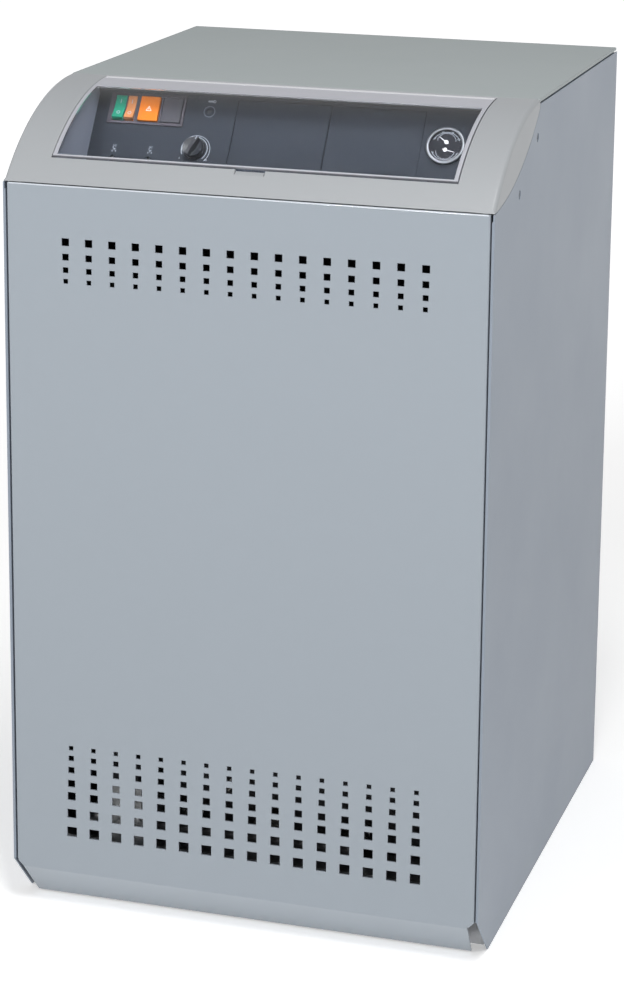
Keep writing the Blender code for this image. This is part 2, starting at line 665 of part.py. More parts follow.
def thermostat_knob(panel):
    """A skirt, a round body and a grip bar on a shaft through the panel."""
    profile = [(0, 0.0075), (0.0102, 0.0070), (0.0110, 0.0026), (0.0122, 0.0022), (0.0122, 0.0008),
               (0.0030, 0.0008), (0.0030, -0.0140), (0, -0.0140)]
    turn = (0, 0, math.radians(-25))
    knob = turned("thermostat_knob", BLACK_PLASTIC, profile, (*KNOB, 0), turn, 36, panel)
    grip = box("knob_grip", BLACK_PLASTIC, (-0.0024, -0.0104, 0.0040), (0.0024, 0.0104, 0.0135))
    grip.parent = knob
    return join(knob, grip)


def knob_scale(panel):
    return outline("knob_scale", ZINC, ring_sector(0.0142, 0.0168, -60, 230), 0.0005,
                   (*KNOB, 0.00065), (0, 0, 0), panel)


def reset_socket(panel):
    profile = [(0.0042, 0.0014), (0.0048, 0.0010), (0.0048, GAP), (0.0032, GAP), (0.0032, -0.0050),
               (0.0026, -0.0050), (0.0026, 0.0014)]
    return turned("reset_socket", BLACK_PLASTIC, profile, (*RESET, 0), (0, 0, 0), 20, panel)


def reset_pin(panel):
    return rod("reset_pin", BLACK_PLASTIC, (*RESET, -0.0090), (*RESET, 0.0006), 0.0022, 14, panel)


def gauge_case(panel):
    return rod("gauge_case", BLACK_PLASTIC, (*GAUGE, -0.0260), (*GAUGE, 0.0004), 0.0184, 32, panel)


def gauge_bezel(panel):
    profile = [(0.0184, 0.0040), (0.0196, 0.0040), (0.0206, 0.0030), (0.0206, GAP), (0.0188, GAP),
               (0.0188, 0.0024), (0.0182, 0.0030)]
    return turned("gauge_bezel", CHROME, profile, (*GAUGE, 0), (0, 0, 0), 40, panel)


def gauge_dial(panel):
    return rod("gauge_dial", BLACK_PLASTIC, (*GAUGE, 0.0007), (*GAUGE, 0.0010), 0.0180, 32, panel)


def gauge_glass(panel):
    return rod("gauge_glass", CLEAR_PLASTIC, (*GAUGE, 0.0026), (*GAUGE, 0.0034), 0.0178, 32, panel)


def needle(name, offset, point_deg, panel):
    """A round hub with a tapered pointer, turning about the hub."""
    hub = rod(name, WHITE_PAINT, (GAUGE[0], GAUGE[1] + offset, 0.0013),
              (GAUGE[0], GAUGE[1] + offset, 0.0023), 0.0014, 12, panel)
    shape = [(0, -0.0006), (0.0098, -0.0002), (0.0098, 0.0002), (0, 0.0006)]
    turn = (0, 0, math.radians(point_deg))
    pointer = outline(name + "_pointer", WHITE_PAINT, shape, 0.0004, (0, 0, 0), turn)
    pointer.parent = hub
    return join(hub, pointer)


def blank_plate_span(index):
    margin = 0.0006
    return (SEAMS[index] + margin, BLANK_LOW), (SEAMS[index + 1] - margin, BLANK_HIGH)


def blank_plate(name, index, panel):
    low, high = blank_plate_span(index)
    return box(name, DARK_PLASTIC, (*low, -PANEL_WALL + 0.0004), (*high, -0.0002), panel)


def control_box(panel):
    return box("control_box", ZINC, (-0.205, -0.035, -0.054), (0.140, 0.058, -0.018), panel, 0.002)


# Boiler body


def section(name, index):
    x = (index - 1.5) * SECTION_PITCH
    points = rounded_rectangle((SECTION_FRONT, SECTION_LOW), (SECTION_BACK, SECTION_HIGH), 0.030)
    plate = outline(name, CAST_IRON, points, SECTION_THICKNESS, at(x, 0, 0), SIDEWAYS)
    return cut(plate, flue_slots(name + "_slots", x))


def flue_slots(name, x):
    """The upright slots between a section's ribs on both of its faces, as one cutter."""
    shape = bmesh.new()
    middle = (SECTION_FRONT + SECTION_BACK) / 2
    height = 1.2 * (SECTION_HIGH - SECTION_LOW)
    for side in (-1, 1):
        low, high = on_side(side, SECTION_CORE / 2, SECTION_THICKNESS)
        for i in range(RIB_SLOTS):
            depth = middle + (i - (RIB_SLOTS - 1) / 2) * RIB_PITCH
            place = Matrix.Translation(at(x + (low + high) / 2, depth, (SECTION_LOW + SECTION_HIGH) / 2))
            scale = Matrix.Diagonal((high - low, RIB_PITCH - RIB_WIDTH, height, 1))
            bmesh.ops.create_cube(shape, size=1, matrix=place @ scale)
    return add(name, mesh_of(name, shape), CAST_IRON, (0, 0, 0))


def tie_rod(name, depth, z):
    half, nut = 0.194, 0.008
    bar = rod(name, ZINC, at(-half, depth, z), at(half, depth, z), 0.006, 12)
    for side in (-1, 1):
        join(bar, rod(f"{name}_nut_{side}", ZINC, at(side * (half - 0.002), depth, z),
                      at(side * (half - 0.002 - nut), depth, z), 0.0105, 6))
    return bar


def insulation_jacket():
    """Boards on both sides and the back, in one bent piece."""
    inner, outer, front, back, wall = 0.198, 0.214, 0.122, 0.540, 0.018
    z_low, z_high = SECTION_LOW + 0.006, SECTION_HIGH
    jacket = block("insulation_jacket", MINERAL_WOOL, (-outer, outer), (front, back), (z_low, z_high))
    cut(jacket, block("jacket_hollow", MINERAL_WOOL, (-inner, inner), (front - 0.010, back - wall),
                      (z_low - 0.010, z_high + 0.010)))
    for name, z in (("flow", FLOW_Z), ("return", RETURN_Z)):
        cut(jacket, rod(f"jacket_{name}_hole", MINERAL_WOOL, at(WATER_X, 0.515, z), at(WATER_X, 0.545, z),
                        WATER_RADIUS + 0.001, 20))
    return jacket


def combustion_box():
    half, front, back, wall = 0.186, 0.116, 0.502, 0.004
    low, high = BASE_HEIGHT + GAP, SECTION_LOW - GAP
    walls = block("combustion_box", ZINC, (-half, half), (front, back), (low, high))
    return cut(
        walls,
        block("chamber", ZINC, (wall - half, half - wall), (front + wall, back - wall),
              (low - wall, high + wall)),
        block("burner_opening", ZINC, (-0.155, 0.155), (front - wall, front + 2 * wall),
              (low + 0.004, 0.150)),
    )


def burner_plate():
    low = BASE_HEIGHT + GAP
    plate = block("burner_plate", ZINC, (-0.168, 0.168), (0.1130, 0.1155), (low, 0.160))
    for i, x in enumerate(BURNER_X):
        cut(plate, rod(f"plate_hole_{i}", ZINC, at(x, 0.105, BURNER_Z), at(x, 0.125, BURNER_Z), 0.0135, 20))
    return cut(plate, rod("plate_electrode_hole", ZINC, at(-0.047, 0.105, 0.118),
                          at(-0.047, 0.125, 0.118), 0.0040, 12))


def burner_tube(name, x):
    """A flat bar burner with a flared, open mixing tube in front."""
    bar = block(name, STAINLESS, (x - 0.016, x + 0.016), (0.126, 0.480), (0.066, 0.108))
    flare = [(0.0100, 0.0420), (0.0125, 0.0420), (0.0125, 0.0100), (0.0165, 0.0010), (0.0165, 0.0),
             (0.0150, 0.0), (0.0100, 0.0100)]
    join(bar, turned(name + "_mixer", STAINLESS, flare, at(x, 0.090, BURNER_Z), ALONG_Y, 24))
    return bar


def gas_manifold():
    end = 0.112
    pipe = rod("gas_manifold", STAINLESS, at(-0.1175, MANIFOLD_DEPTH, BURNER_Z),
               at(end, MANIFOLD_DEPTH, BURNER_Z), 0.0090, 20)
    for i, x in enumerate(BURNER_X):
        join(
            pipe,
            rod(f"nozzle_seat_{i}", BRASS, at(x, MANIFOLD_DEPTH, BURNER_Z), at(x, 0.079, BURNER_Z),
                0.0065, 6),
            rod(f"nozzle_{i}", BRASS, at(x, 0.078, BURNER_Z), at(x, 0.086, BURNER_Z), 0.0035, 12),
        )
    return pipe


def gas_valve():
    x = VALVE_X
    body = block("gas_valve", ALUMINIUM, (x - 0.024, x + 0.028), (0.042, 0.090), (0.064, 0.104))
    return join(
        body,
        block("valve_head", ALUMINIUM, (x - 0.019, x + 0.019), (0.047, 0.085), (0.100, 0.128)),
        rod("valve_cap", ALUMINIUM, at(x, 0.045, 0.084), at(x, 0.036, 0.084), 0.009, 20),
        rod("valve_test_point", ALUMINIUM, at(x + 0.018, 0.045, 0.094), at(x + 0.018, 0.037, 0.094),
            0.003, 10),
    )


def valve_coil():
    return block("valve_coil", BLACK_PLASTIC, (VALVE_X - 0.015, VALVE_X + 0.015), (0.050, 0.082),
                 (0.1285, 0.152), 0.002)


def gas_pipe():
    """From the back along the left side, then round an elbow into the valve."""
    bend = 0.032
    centre = (GAS_PIPE_X + bend, MANIFOLD_DEPTH + bend)
    route = [(GAS_PIPE_X, CABINET_DEPTH + PIPE_STUB)]
    route += arc(centre, bend, 180, 270, 11.25)
    route += [(VALVE_X - 0.0245, MANIFOLD_DEPTH)]
    points = [at(x, depth, BURNER_Z) for x, depth in route]
    pipe = tube("gas_pipe", STAINLESS, points, GAS_PIPE_RADIUS)
    end = CABINET_DEPTH + PIPE_STUB
    return cut(pipe, rod("gas_bore", STAINLESS, at(GAS_PIPE_X, end - 0.060, BURNER_Z),
                         at(GAS_PIPE_X, end + 0.010, BURNER_Z), 0.0080, 16))


def water_pipe(name, z):
    end = CABINET_DEPTH + PIPE_STUB
    pipe = rod(name, STAINLESS, at(WATER_X, SECTION_BACK + GAP, z), at(WATER_X, end, z), WATER_RADIUS, 28)
    return cut(pipe, rod(name + "_bore", STAINLESS, at(WATER_X, 0.490, z), at(WATER_X, end + 0.010, z),
                         WATER_BORE, 20))


def flue_collector():
    """A sheet box, open at the bottom, with a round outlet at the back."""
    half, wall = 0.150, 0.003
    body = block("flue_collector", ZINC, (-half, half), (COLLECTOR_FRONT, COLLECTOR_BACK),
                 (COLLECTOR_LOW, COLLECTOR_HIGH))
    return cut(
        body,
        block("collector_hollow", ZINC, (wall - half, half - wall),
              (COLLECTOR_FRONT + wall, COLLECTOR_BACK - wall),
              (COLLECTOR_LOW - wall, COLLECTOR_HIGH - wall)),
        rod("collector_outlet", ZINC, at(0, COLLECTOR_BACK - 0.010, FLUE_Z),
            at(0, COLLECTOR_BACK + 0.010, FLUE_Z), FLUE_RADIUS - FLUE_WALL, 36),
    )


def flue_spigot():
    """A round collar with a flange against the collector."""
    start, end = COLLECTOR_BACK + GAP, CABINET_DEPTH + REAR_STUB
    length = end - start
    inner = FLUE_RADIUS - FLUE_WALL
    profile = [(inner, length), (FLUE_RADIUS, length), (FLUE_RADIUS, 0.002), (FLUE_RADIUS + 0.009, 0.002),
               (FLUE_RADIUS + 0.009, 0), (inner, 0)]
    return turned("flue_spigot", ZINC, profile, at(0, start, FLUE_Z), ALONG_Y, 40)


def ignition_electrode():
    x, z = -0.047, 0.118
    rod_piece = rod("ignition_electrode", CERAMIC, at(x, 0.096, z), at(x, 0.136, z), 0.0034, 12)
    return join(
        rod_piece,
        rod("electrode_tip", STAINLESS, at(x, 0.134, z), at(x, 0.158, z), 0.0011, 8),
        rod("electrode_terminal", STAINLESS, at(x, 0.086, z), at(x, 0.098, z), 0.0016, 8),
    )


def cable_gland():
    profile = [(0.0042, 0.0130), (0.0085, 0.0130), (0.0115, 0.0080), (0.0115, 0.0008), (0.0078, 0.0008),
               (0.0078, -0.0100), (0.0042, -0.0100)]
    return turned("cable_gland", BLACK_PLASTIC, profile, at(GLAND[0], 0.5775 + SHEET, GLAND[1]), ALONG_Y, 20)


def drain_cock():
    x, z = DRAIN
    body = rod("drain_cock", BRASS, at(x, SECTION_FRONT - GAP, z), at(x, 0.084, z), 0.0090, 16)
    return join(
        body,
        rod("drain_outlet", BRASS, at(x, 0.098, z), at(x, 0.098, z - 0.026), 0.0070, 14),
        rod("drain_stem", BRASS, at(x, 0.098, z), at(x, 0.098, z + 0.0140), 0.0040, 12),
    )


def drain_handle():
    """A lever that turns about the cock's stem."""
    x, z = DRAIN
    low = z + 0.0140 + GAP
    hub = rod("drain_handle", RED_PLASTIC, at(x, 0.098, low), at(x, 0.098, low + 0.006), 0.0080, 16)
    return join(hub, block("handle_lever", RED_PLASTIC, (x - 0.046, x), (0.0935, 0.1025),
                           (low + 0.001, low + 0.005)))


def build():
    base_frame()
    side_panel("left_side_panel", -1)
    side_panel("right_side_panel", 1)
    rear_panel()
    lid()
    front_door()
    door_catch("left_door_catch", -1)
    door_catch("right_door_catch", 1)
    hood()
    for side_name, side in (("left", -1), ("right", 1)):
        flap_pin(side_name + "_flap_pin", side)
        for place, (depth, z) in zip(("upper", "lower"), SCREW_PLACES):
            hood_screw(f"{side_name}_{place}_hood_screw", side, depth, z)
    flap_frame()
    flap_pane()

    panel = panel_frame()
    control_panel(panel)
    control_box(panel)
    switch_bezel(panel)
    rocker("mains_rocker", "mains", GREEN_LENS, panel)
    rocker("season_rocker", "season", AMBER_LENS, panel)
    push_button("fault_button", "fault", ORANGE_LENS, -0.0080, 0.0042, panel)
    push_button("switch_blank", "blank", BLACK_PLASTIC, -0.0060, 0.0024, panel)
    thermostat_knob(panel)
    knob_scale(panel)
    reset_socket(panel)
    reset_pin(panel)
    gauge_case(panel)
    gauge_bezel(panel)
    gauge_dial(panel)
    gauge_glass(panel)
    needle("temperature_needle", HUB_OFFSET, 146, panel)
    needle("pressure_needle", -HUB_OFFSET, -12, panel)
    blank_plate("left_blank_plate", 0, panel)
    blank_plate("right_blank_plate", 1, panel)

    for index in range(4):
        section(f"iron_section_{index + 1}", index)
    tie_rod("upper_tie_rod", 0.170, 0.652)
    tie_rod("lower_tie_rod", 0.511, 0.290)
    insulation_jacket()
    combustion_box()
    burner_plate()
    for index, x in enumerate(BURNER_X):
        burner_tube(f"burner_tube_{index + 1}", x)
    gas_manifold()
    gas_valve()
    valve_coil()
    gas_pipe()
    ignition_electrode()
    water_pipe("flow_pipe", FLOW_Z)
    water_pipe("return_pipe", RETURN_Z)
    flue_collector()
    flue_spigot()
    cable_gland()
    drain_cock()
    drain_handle()


build()
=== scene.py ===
"""Looks of a floor-standing gas boiler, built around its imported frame.

Metres, +Z up, the door faces -Y. A depth is counted from the cabinet's front face towards +Y.
"""

import json
import math

import bmesh
import bpy
from mathutils import Matrix, Vector

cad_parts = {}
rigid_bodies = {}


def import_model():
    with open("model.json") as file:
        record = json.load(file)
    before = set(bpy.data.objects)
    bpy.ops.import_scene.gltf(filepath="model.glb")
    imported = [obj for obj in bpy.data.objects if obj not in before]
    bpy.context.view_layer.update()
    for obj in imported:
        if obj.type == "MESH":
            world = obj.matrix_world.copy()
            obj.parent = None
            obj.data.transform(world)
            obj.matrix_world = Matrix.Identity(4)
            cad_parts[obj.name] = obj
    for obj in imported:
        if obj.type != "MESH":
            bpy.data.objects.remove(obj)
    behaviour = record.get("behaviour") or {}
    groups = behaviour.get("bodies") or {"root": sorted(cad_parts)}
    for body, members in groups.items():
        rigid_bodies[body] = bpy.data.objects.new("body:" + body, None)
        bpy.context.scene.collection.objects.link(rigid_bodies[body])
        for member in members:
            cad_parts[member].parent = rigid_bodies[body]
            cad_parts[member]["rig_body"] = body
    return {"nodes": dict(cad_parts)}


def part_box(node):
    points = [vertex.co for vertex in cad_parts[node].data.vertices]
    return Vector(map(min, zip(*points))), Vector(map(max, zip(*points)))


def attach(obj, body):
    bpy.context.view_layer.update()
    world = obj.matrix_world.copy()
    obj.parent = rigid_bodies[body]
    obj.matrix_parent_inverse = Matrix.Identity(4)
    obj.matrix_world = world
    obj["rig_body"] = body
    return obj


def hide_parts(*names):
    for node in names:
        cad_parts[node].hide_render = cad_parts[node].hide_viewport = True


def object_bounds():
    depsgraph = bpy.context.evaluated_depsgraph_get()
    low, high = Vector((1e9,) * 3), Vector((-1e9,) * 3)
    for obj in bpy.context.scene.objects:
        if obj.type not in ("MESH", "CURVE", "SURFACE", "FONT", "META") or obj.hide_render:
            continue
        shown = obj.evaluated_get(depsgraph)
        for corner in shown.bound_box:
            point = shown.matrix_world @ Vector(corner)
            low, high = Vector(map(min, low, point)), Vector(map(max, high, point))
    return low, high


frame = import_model()
CAD_LOW, CAD_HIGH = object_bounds()
NODES = frame["nodes"]
FRONT = CAD_LOW.y
HALF = CAD_HIGH.x
TOP = CAD_HIGH.z

# Door
DOOR_HALF, DOOR_TOP, DOOR_FOLD = 0.2504, 0.7829, 0.0425
DOOR_ROUND = 0.0016
# A light strip over the door's rounded top edge: a painted highlight.
DOOR_HIGHLIGHT_HALF, DOOR_HIGHLIGHT_INNER, DOOR_HIGHLIGHT_OUTER = 0.2485, 0.0014, 0.00168

# Hood and flap, as circles about one axis
HOOD_R, HOOD_WALL = 0.250, 0.003
HOOD_DEPTH, HOOD_Z = 0.187, TOP - HOOD_R
HOOD_LOW = 0.7840
OPEN_HALF, OPEN_LOW, OPEN_BACK = 0.2115, 49.4, 0.1832
NOTCH_HALF, NOTCH_TALL, NOTCH_FLOOR_HALF = 0.0155, 0.0065, 0.0149
CHEEK_TOP, CHEEK_SAG = 0.8575, 0.016
SCREWS = ((0.179, 0.829), (0.1035, 0.784))
SCREW_FACE = 0.2527
HINGE_DEPTH = 0.1795
PANE_HALF, PANE_INNER, PANE_OUTER, PANE_LOW, PANE_HIGH = 0.2063, 0.2475, 0.2497, 50.52, 79.13
# A light strip along the flap's top edge: a painted highlight.
FLAP_HIGHLIGHT_HALF, FLAP_HIGHLIGHT_INNER, FLAP_HIGHLIGHT_OUTER, FLAP_HIGHLIGHT_LOW, FLAP_HIGHLIGHT_HIGH = 0.2100, 0.2496, 0.25012, 86.4, 87.8
RECESS_INNER, RECESS_OUTER, RECESS_R = 0.2117, 0.2120, 0.2456

# Control panel: its own frame has x across, y up the slope and z out of the panel
PANEL = Matrix.Translation((0, FRONT + 0.122, 0.790)) @ Matrix.Rotation(math.radians(56), 4, "X")
SWITCH_UP = 0.057
GREEN_X, AMBER_X, ORANGE_X = -0.1862, -0.1738, -0.1530
KNOB = (-0.0960, 0.0158)
RESET = (-0.0880, 0.0590)
GAUGE = (0.1685, 0.0365)
SIDE_ON = Matrix(((0, 0, 1, 0), (1, 0, 0, 0), (0, 1, 0, 0), (0, 0, 0, 1)))
SYMBOLS = ((-0.1842, 0.0022), (-0.1446, 0.0025))
PRINT_THICK = 0.00015
DIAL_TOP = 0.0010
NEEDLE_UP = 0.0042


def srgb(red, green, blue):
    """Linear colour from display values of 0 to 255."""
    return tuple(
        c / 12.92 if c <= 0.04045 else ((c + 0.055) / 1.055) ** 2.4
        for c in (red / 255, green / 255, blue / 255)
    )


# Materials


def surface(name, colour, rough, metallic=0.0, vary=0.03, patch=7.0, grain=700.0, bump=6e-6,
            stretch=(1, 1, 1), cells=False, speck=0.02, coat=0.0, sheen=0.0, shine=0.5):
    """A procedural finish: broad colour drift, fine specks, uneven roughness and a fine relief."""
    made = bpy.data.materials.new(name)
    made.use_nodes = True
    tree = made.node_tree
    shader = tree.nodes["Principled BSDF"]

    def node(kind, **values):
        n = tree.nodes.new(kind)
        for key, value in values.items():
            n.inputs[key].default_value = value
        return n

    def join(a, out, b, into):
        tree.links.new(a.outputs[out], b.inputs[into])

    place = tree.nodes.new("ShaderNodeTexCoord")
    fit = node("ShaderNodeMapping", Scale=stretch)
    join(place, "Object", fit, "Vector")
    broad = node("ShaderNodeTexNoise", Scale=patch, Detail=4.0, Roughness=0.55)
    fine = node("ShaderNodeTexNoise", Scale=grain, Detail=3.0, Roughness=0.6)
    join(fit, "Vector", broad, "Vector")
    join(fit, "Vector", fine, "Vector")
    tint = tree.nodes.new("ShaderNodeMix")
    tint.data_type = "RGBA"
    tint.inputs[6].default_value = (*(c * (1 - vary) for c in colour), 1)
    tint.inputs[7].default_value = (*(min(1, c * (1 + vary)) for c in colour), 1)
    spot = tree.nodes.new("ShaderNodeMix")
    spot.data_type = "RGBA"
    spot.blend_type = "MULTIPLY"
    spot.inputs[0].default_value = 1.0
    shade = node("ShaderNodeMapRange")
    shade.inputs["To Min"].default_value = 1 - speck
    shade.inputs["To Max"].default_value = 1 + speck
    if cells:
        crystal = node("ShaderNodeTexVoronoi", Scale=grain)
        crystal.feature = "F1"
        join(fit, "Vector", crystal, "Vector")
        join(crystal, "Color", shade, "Value")
    else:
        join(fine, "Fac", shade, "Value")
    join(broad, "Fac", tint, 0)
    tree.links.new(tint.outputs[2], spot.inputs[6])
    join(shade, "Result", spot, 7)
    tree.links.new(spot.outputs[2], shader.inputs["Base Color"])
    dull = node("ShaderNodeMapRange")
    dull.inputs["To Min"].default_value = max(0.02, rough - 0.07)
    dull.inputs["To Max"].default_value = min(1.0, rough + 0.07)
    if cells:
        dull.inputs["From Min"].default_value = 1 - speck
        dull.inputs["From Max"].default_value = 1 + speck
        join(shade, "Result", dull, "Value")
    else:
        join(broad, "Fac", dull, "Value")
    join(dull, "Result", shader, "Roughness")
    relief = node("ShaderNodeBump", Strength=1.0, Distance=bump)
    join(fine, "Fac", relief, "Height")
    join(relief, "Normal", shader, "Normal")
    shader.inputs["Metallic"].default_value = metallic
    shader.inputs["Specular IOR Level"].default_value = shine
    shader.inputs["Coat Weight"].default_value = coat
    shader.inputs["Sheen Weight"].default_value = sheen
    return made


def clear(name, tint, ior):
    """Clear plastic that lets the lamps through."""
    made = surface(name, tint, 0.05, vary=0.0, speck=0.0, bump=4e-7, grain=120.0)
    tree = made.node_tree
    shader = tree.nodes["Principled BSDF"]
    for socket in ("Base Color", "Roughness"):
        for link in list(shader.inputs[socket].links):
            tree.links.remove(link)
    shader.inputs["Base Color"].default_value = (*tint, 1)
    shader.inputs["Roughness"].default_value = 0.03
    shader.inputs["Transmission Weight"].default_value = 1.0
    shader.inputs["IOR"].default_value = ior
    shader.inputs["Specular IOR Level"].default_value = 0.2
    path = tree.nodes.new("ShaderNodeLightPath")
    through = tree.nodes.new("ShaderNodeBsdfTransparent")
    through.inputs["Color"].default_value = (*tint, 1)
    pick = tree.nodes.new("ShaderNodeMixShader")
    tree.links.new(path.outputs["Is Shadow Ray"], pick.inputs[0])
    tree.links.new(shader.outputs[0], pick.inputs[1])
    tree.links.new(through.outputs[0], pick.inputs[2])
    tree.links.new(pick.outputs[0], tree.nodes["Material Output"].inputs["Surface"])
    return made


PAINT = srgb(140, 148, 156)
PAINT_GRAIN = {"vary": 0.012, "grain": 1500, "bump": 3e-6}
FINISHES = {
    "door_paint": surface("door_paint", PAINT, 0.42, 0.10, **PAINT_GRAIN, coat=0.35),
    # The side panels have the door's paint; their darker colour is painted shade, as less light
    # falls on the sides.
    "side_paint": surface("side_paint", srgb(130, 139, 151), 0.45, 0.10, **PAINT_GRAIN),
    "lid_paint": surface("lid_paint", srgb(155, 162, 163), 0.50, 0.05, **PAINT_GRAIN, shine=0.2),
    "hood_plastic": surface("hood_plastic", srgb(152, 155, 158), 0.45, vary=0.012, grain=1900,
                            bump=6e-6),
    "dark_plastic": surface("dark_plastic", srgb(34, 41, 52), 0.70, vary=0.03, grain=1600,
                            bump=1e-5, shine=0.35),
    "black_plastic": surface("black_plastic", srgb(42, 45, 52), 0.34, vary=0.06, grain=1600,
                             bump=6e-6),
    "green_lens": surface("green_lens", srgb(40, 148, 120), 0.18, vary=0.25, patch=160, coat=0.6),
    "amber_lens": surface("amber_lens", srgb(203, 136, 88), 0.20, vary=0.22, patch=160, coat=0.6),
    "orange_lens": surface("orange_lens", srgb(218, 120, 28), 0.20, vary=0.10, patch=120, coat=0.6),
    "chrome": surface("chrome", (0.83, 0.83, 0.85), 0.24, 1.0, vary=0.02, bump=4e-7),
    "white_paint": surface("white_paint", (0.80, 0.80, 0.80), 0.35, vary=0.02),
    "zinc": surface("zinc", (0.52, 0.53, 0.55), 0.42, 0.9, vary=0.06, grain=150, cells=True,
                    speck=0.18),
    "cast_iron": surface("cast_iron", (0.075, 0.072, 0.070), 0.78, 0.5, vary=0.25, patch=14,
                         grain=420, bump=1.2e-4, speck=0.25),
    "brass": surface("brass", (0.66, 0.45, 0.17), 0.30, 1.0, vary=0.08, patch=40, bump=3e-6),
    "aluminium": surface("aluminium", (0.66, 0.67, 0.68), 0.48, 0.8, vary=0.05, patch=30, grain=900,
                         bump=3e-5, speck=0.08),
    "stainless": surface("stainless", (0.55, 0.55, 0.55), 0.34, 1.0, vary=0.06, grain=900,
                         stretch=(1, 0.06, 1), bump=4e-6, speck=0.06),
    "mineral_wool": surface("mineral_wool", (0.46, 0.42, 0.27), 0.95, vary=0.20, patch=30,
                            grain=260, stretch=(1, 1, 3), bump=8e-4, speck=0.30, sheen=0.3),
    "ceramic": surface("ceramic", (0.82, 0.80, 0.74), 0.30, vary=0.04, coat=0.4),
    "red_plastic": surface("red_plastic", (0.48, 0.03, 0.02), 0.35, vary=0.06, bump=6e-6),
    "clear_plastic": clear("clear_plastic", (0.94, 0.95, 0.96), 1.33),
}
DIAL_GLASS = clear("dial_glass", (0.95, 0.95, 0.96), 1.12)
PRINT = surface("print_white", srgb(225, 228, 232), 0.5, vary=0.03, patch=90)
PRINT_DIM = surface("print_grey", srgb(165, 171, 180), 0.5, vary=0.05, patch=90)
PRINT_FAINT = surface("print_faint", srgb(112, 118, 128), 0.5, vary=0.05, patch=90)
# A lighter grey for the recess walls than the tray's: painted light falling on them.
RECESS_PAINTED_LIGHT = surface("recess_painted_light", srgb(144, 151, 167), 0.6, grain=1600, bump=1e-5)
FLAP_GREY = surface("flap_grey", srgb(166, 167, 174), 0.35, vary=0.012, grain=1900, bump=5e-6)
# Light colour for the strip on the door's top edge: a painted highlight.
DOOR_HIGHLIGHT_PAINT = surface("door_edge_highlight", srgb(196, 202, 209), 0.16, vary=0.012, bump=2e-6, coat=1.0)
# Light colour for the strip on the flap's top edge: a painted highlight.
FLAP_HIGHLIGHT_PAINT = surface("flap_bead", srgb(214, 216, 221), 0.15, vary=0.012, bump=2e-6, coat=1.0)
SCREW_STEEL = surface("screw_steel", srgb(128, 133, 140), 0.35, 0.9, vary=0.05, patch=200,
                      bump=4e-6)
SATIN_RING = surface("satin_ring", srgb(142, 145, 150), 0.40, 1.0, vary=0.02, bump=4e-7)
BEZEL_PLASTIC = surface("bezel_plastic", srgb(64, 60, 70), 0.5)
BLANK_PLASTIC = surface("blank_plastic", srgb(62, 62, 70), 0.45)
DIAL_BLACK = surface("dial_black", srgb(30, 32, 40), 0.6, vary=0.03, shine=0.15)
# A dark steel for the inner parts seen through the door's holes: painted shade.
SHADE_STEEL = surface("painted_shade_steel", (0.10, 0.10, 0.105), 0.5, 0.8, vary=0.15, patch=25, bump=1e-5)


# Mesh helpers


def piece(name, bm, slot, node=None, body=None, finish=None, smooth=True):
    """A finished mesh that stands for a CAD node, or that rides on a body beside it."""
    bmesh.ops.recalc_face_normals(bm, faces=bm.faces)
    mesh = bpy.data.meshes.new(name)
    bm.to_mesh(mesh)
    bm.free()
    made = bpy.data.objects.new(name, mesh)
    bpy.context.scene.collection.objects.link(made)
    mesh.materials.append(finish or FINISHES[slot])
    if smooth:
        mesh.shade_smooth()
        mesh.set_sharp_from_angle(angle=math.radians(38))
        weigh = made.modifiers.new("normals", "WEIGHTED_NORMAL")
        weigh.keep_sharp = True
    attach(made, body or NODES[node]["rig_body"])
    if node:
        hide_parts(node)


def from_cad(node):
    """A CAD node's mesh with its corners welded and its flat faces merged."""
    bm = bmesh.new()
    bm.from_mesh(NODES[node].data)
    bmesh.ops.remove_doubles(bm, verts=bm.verts, dist=2e-6)
    bmesh.ops.dissolve_limit(bm, angle_limit=math.radians(0.5), verts=bm.verts, edges=bm.edges)
    return bm


def bevel(bm, width, segments=3, choose=None, angle=35.0):
    """Rounds the edges that turn by more than an angle, all of them or those chosen."""
    edges = [
        e for e in bm.edges
        if len(e.link_faces) == 2 and e.calc_face_angle() > math.radians(angle)
        and (choose is None or choose(e.verts[0].co, e.verts[1].co))
    ]
    if edges:
        bmesh.ops.bevel(bm, geom=edges, offset=width, segments=segments, profile=0.5,
                        affect="EDGES", clamp_overlap=True)


def near(value, target, gap=2e-4):
    return abs(value - target) < gap


def both(test):
    """An edge test that holds at both ends."""
    return lambda a, b: test(a) and test(b)


def turn_profile(bm, profile, segments=48, place=Matrix.Identity(4), start=0.0, sweep=360.0):
    """Turns (radius, height) points about Z. Points on the axis close the shape."""
    closed = sweep >= 360
    count = segments if closed else segments + 1
    rings = []
    for radius, height in profile:
        if radius < 1e-7:
            rings.append([bm.verts.new(place @ Vector((0, 0, height)))] * count)
            continue
        ring = []
        for i in range(count):
            a = math.radians(start + sweep * i / segments)
            spot = Vector((radius * math.cos(a), radius * math.sin(a), height))
            ring.append(bm.verts.new(place @ spot))
        rings.append(ring)
    for low, high in zip(rings, rings[1:]):
        for i in range(segments):
            j = (i + 1) % count
            corners = []
            for v in (low[i], low[j], high[j], high[i]):
                if v not in corners:
                    corners.append(v)
            if len(corners) > 2:
                bm.faces.new(corners)
    return rings


def ring_shape(bm, inner, outer, start, end, place, height=0.00012, steps=40):
    """A flat printed arc with a little thickness."""
    profile = [(inner, 0), (inner, height), (outer, height), (outer, 0), (inner, 0)]
    rings = turn_profile(bm, profile, steps, place, start, end - start)
    if end - start < 360:
        bm.faces.new([r[0] for r in rings[:4]])
        bm.faces.new([r[-1] for r in reversed(rings[:4])])
    bmesh.ops.remove_doubles(bm, verts=bm.verts, dist=1e-7)


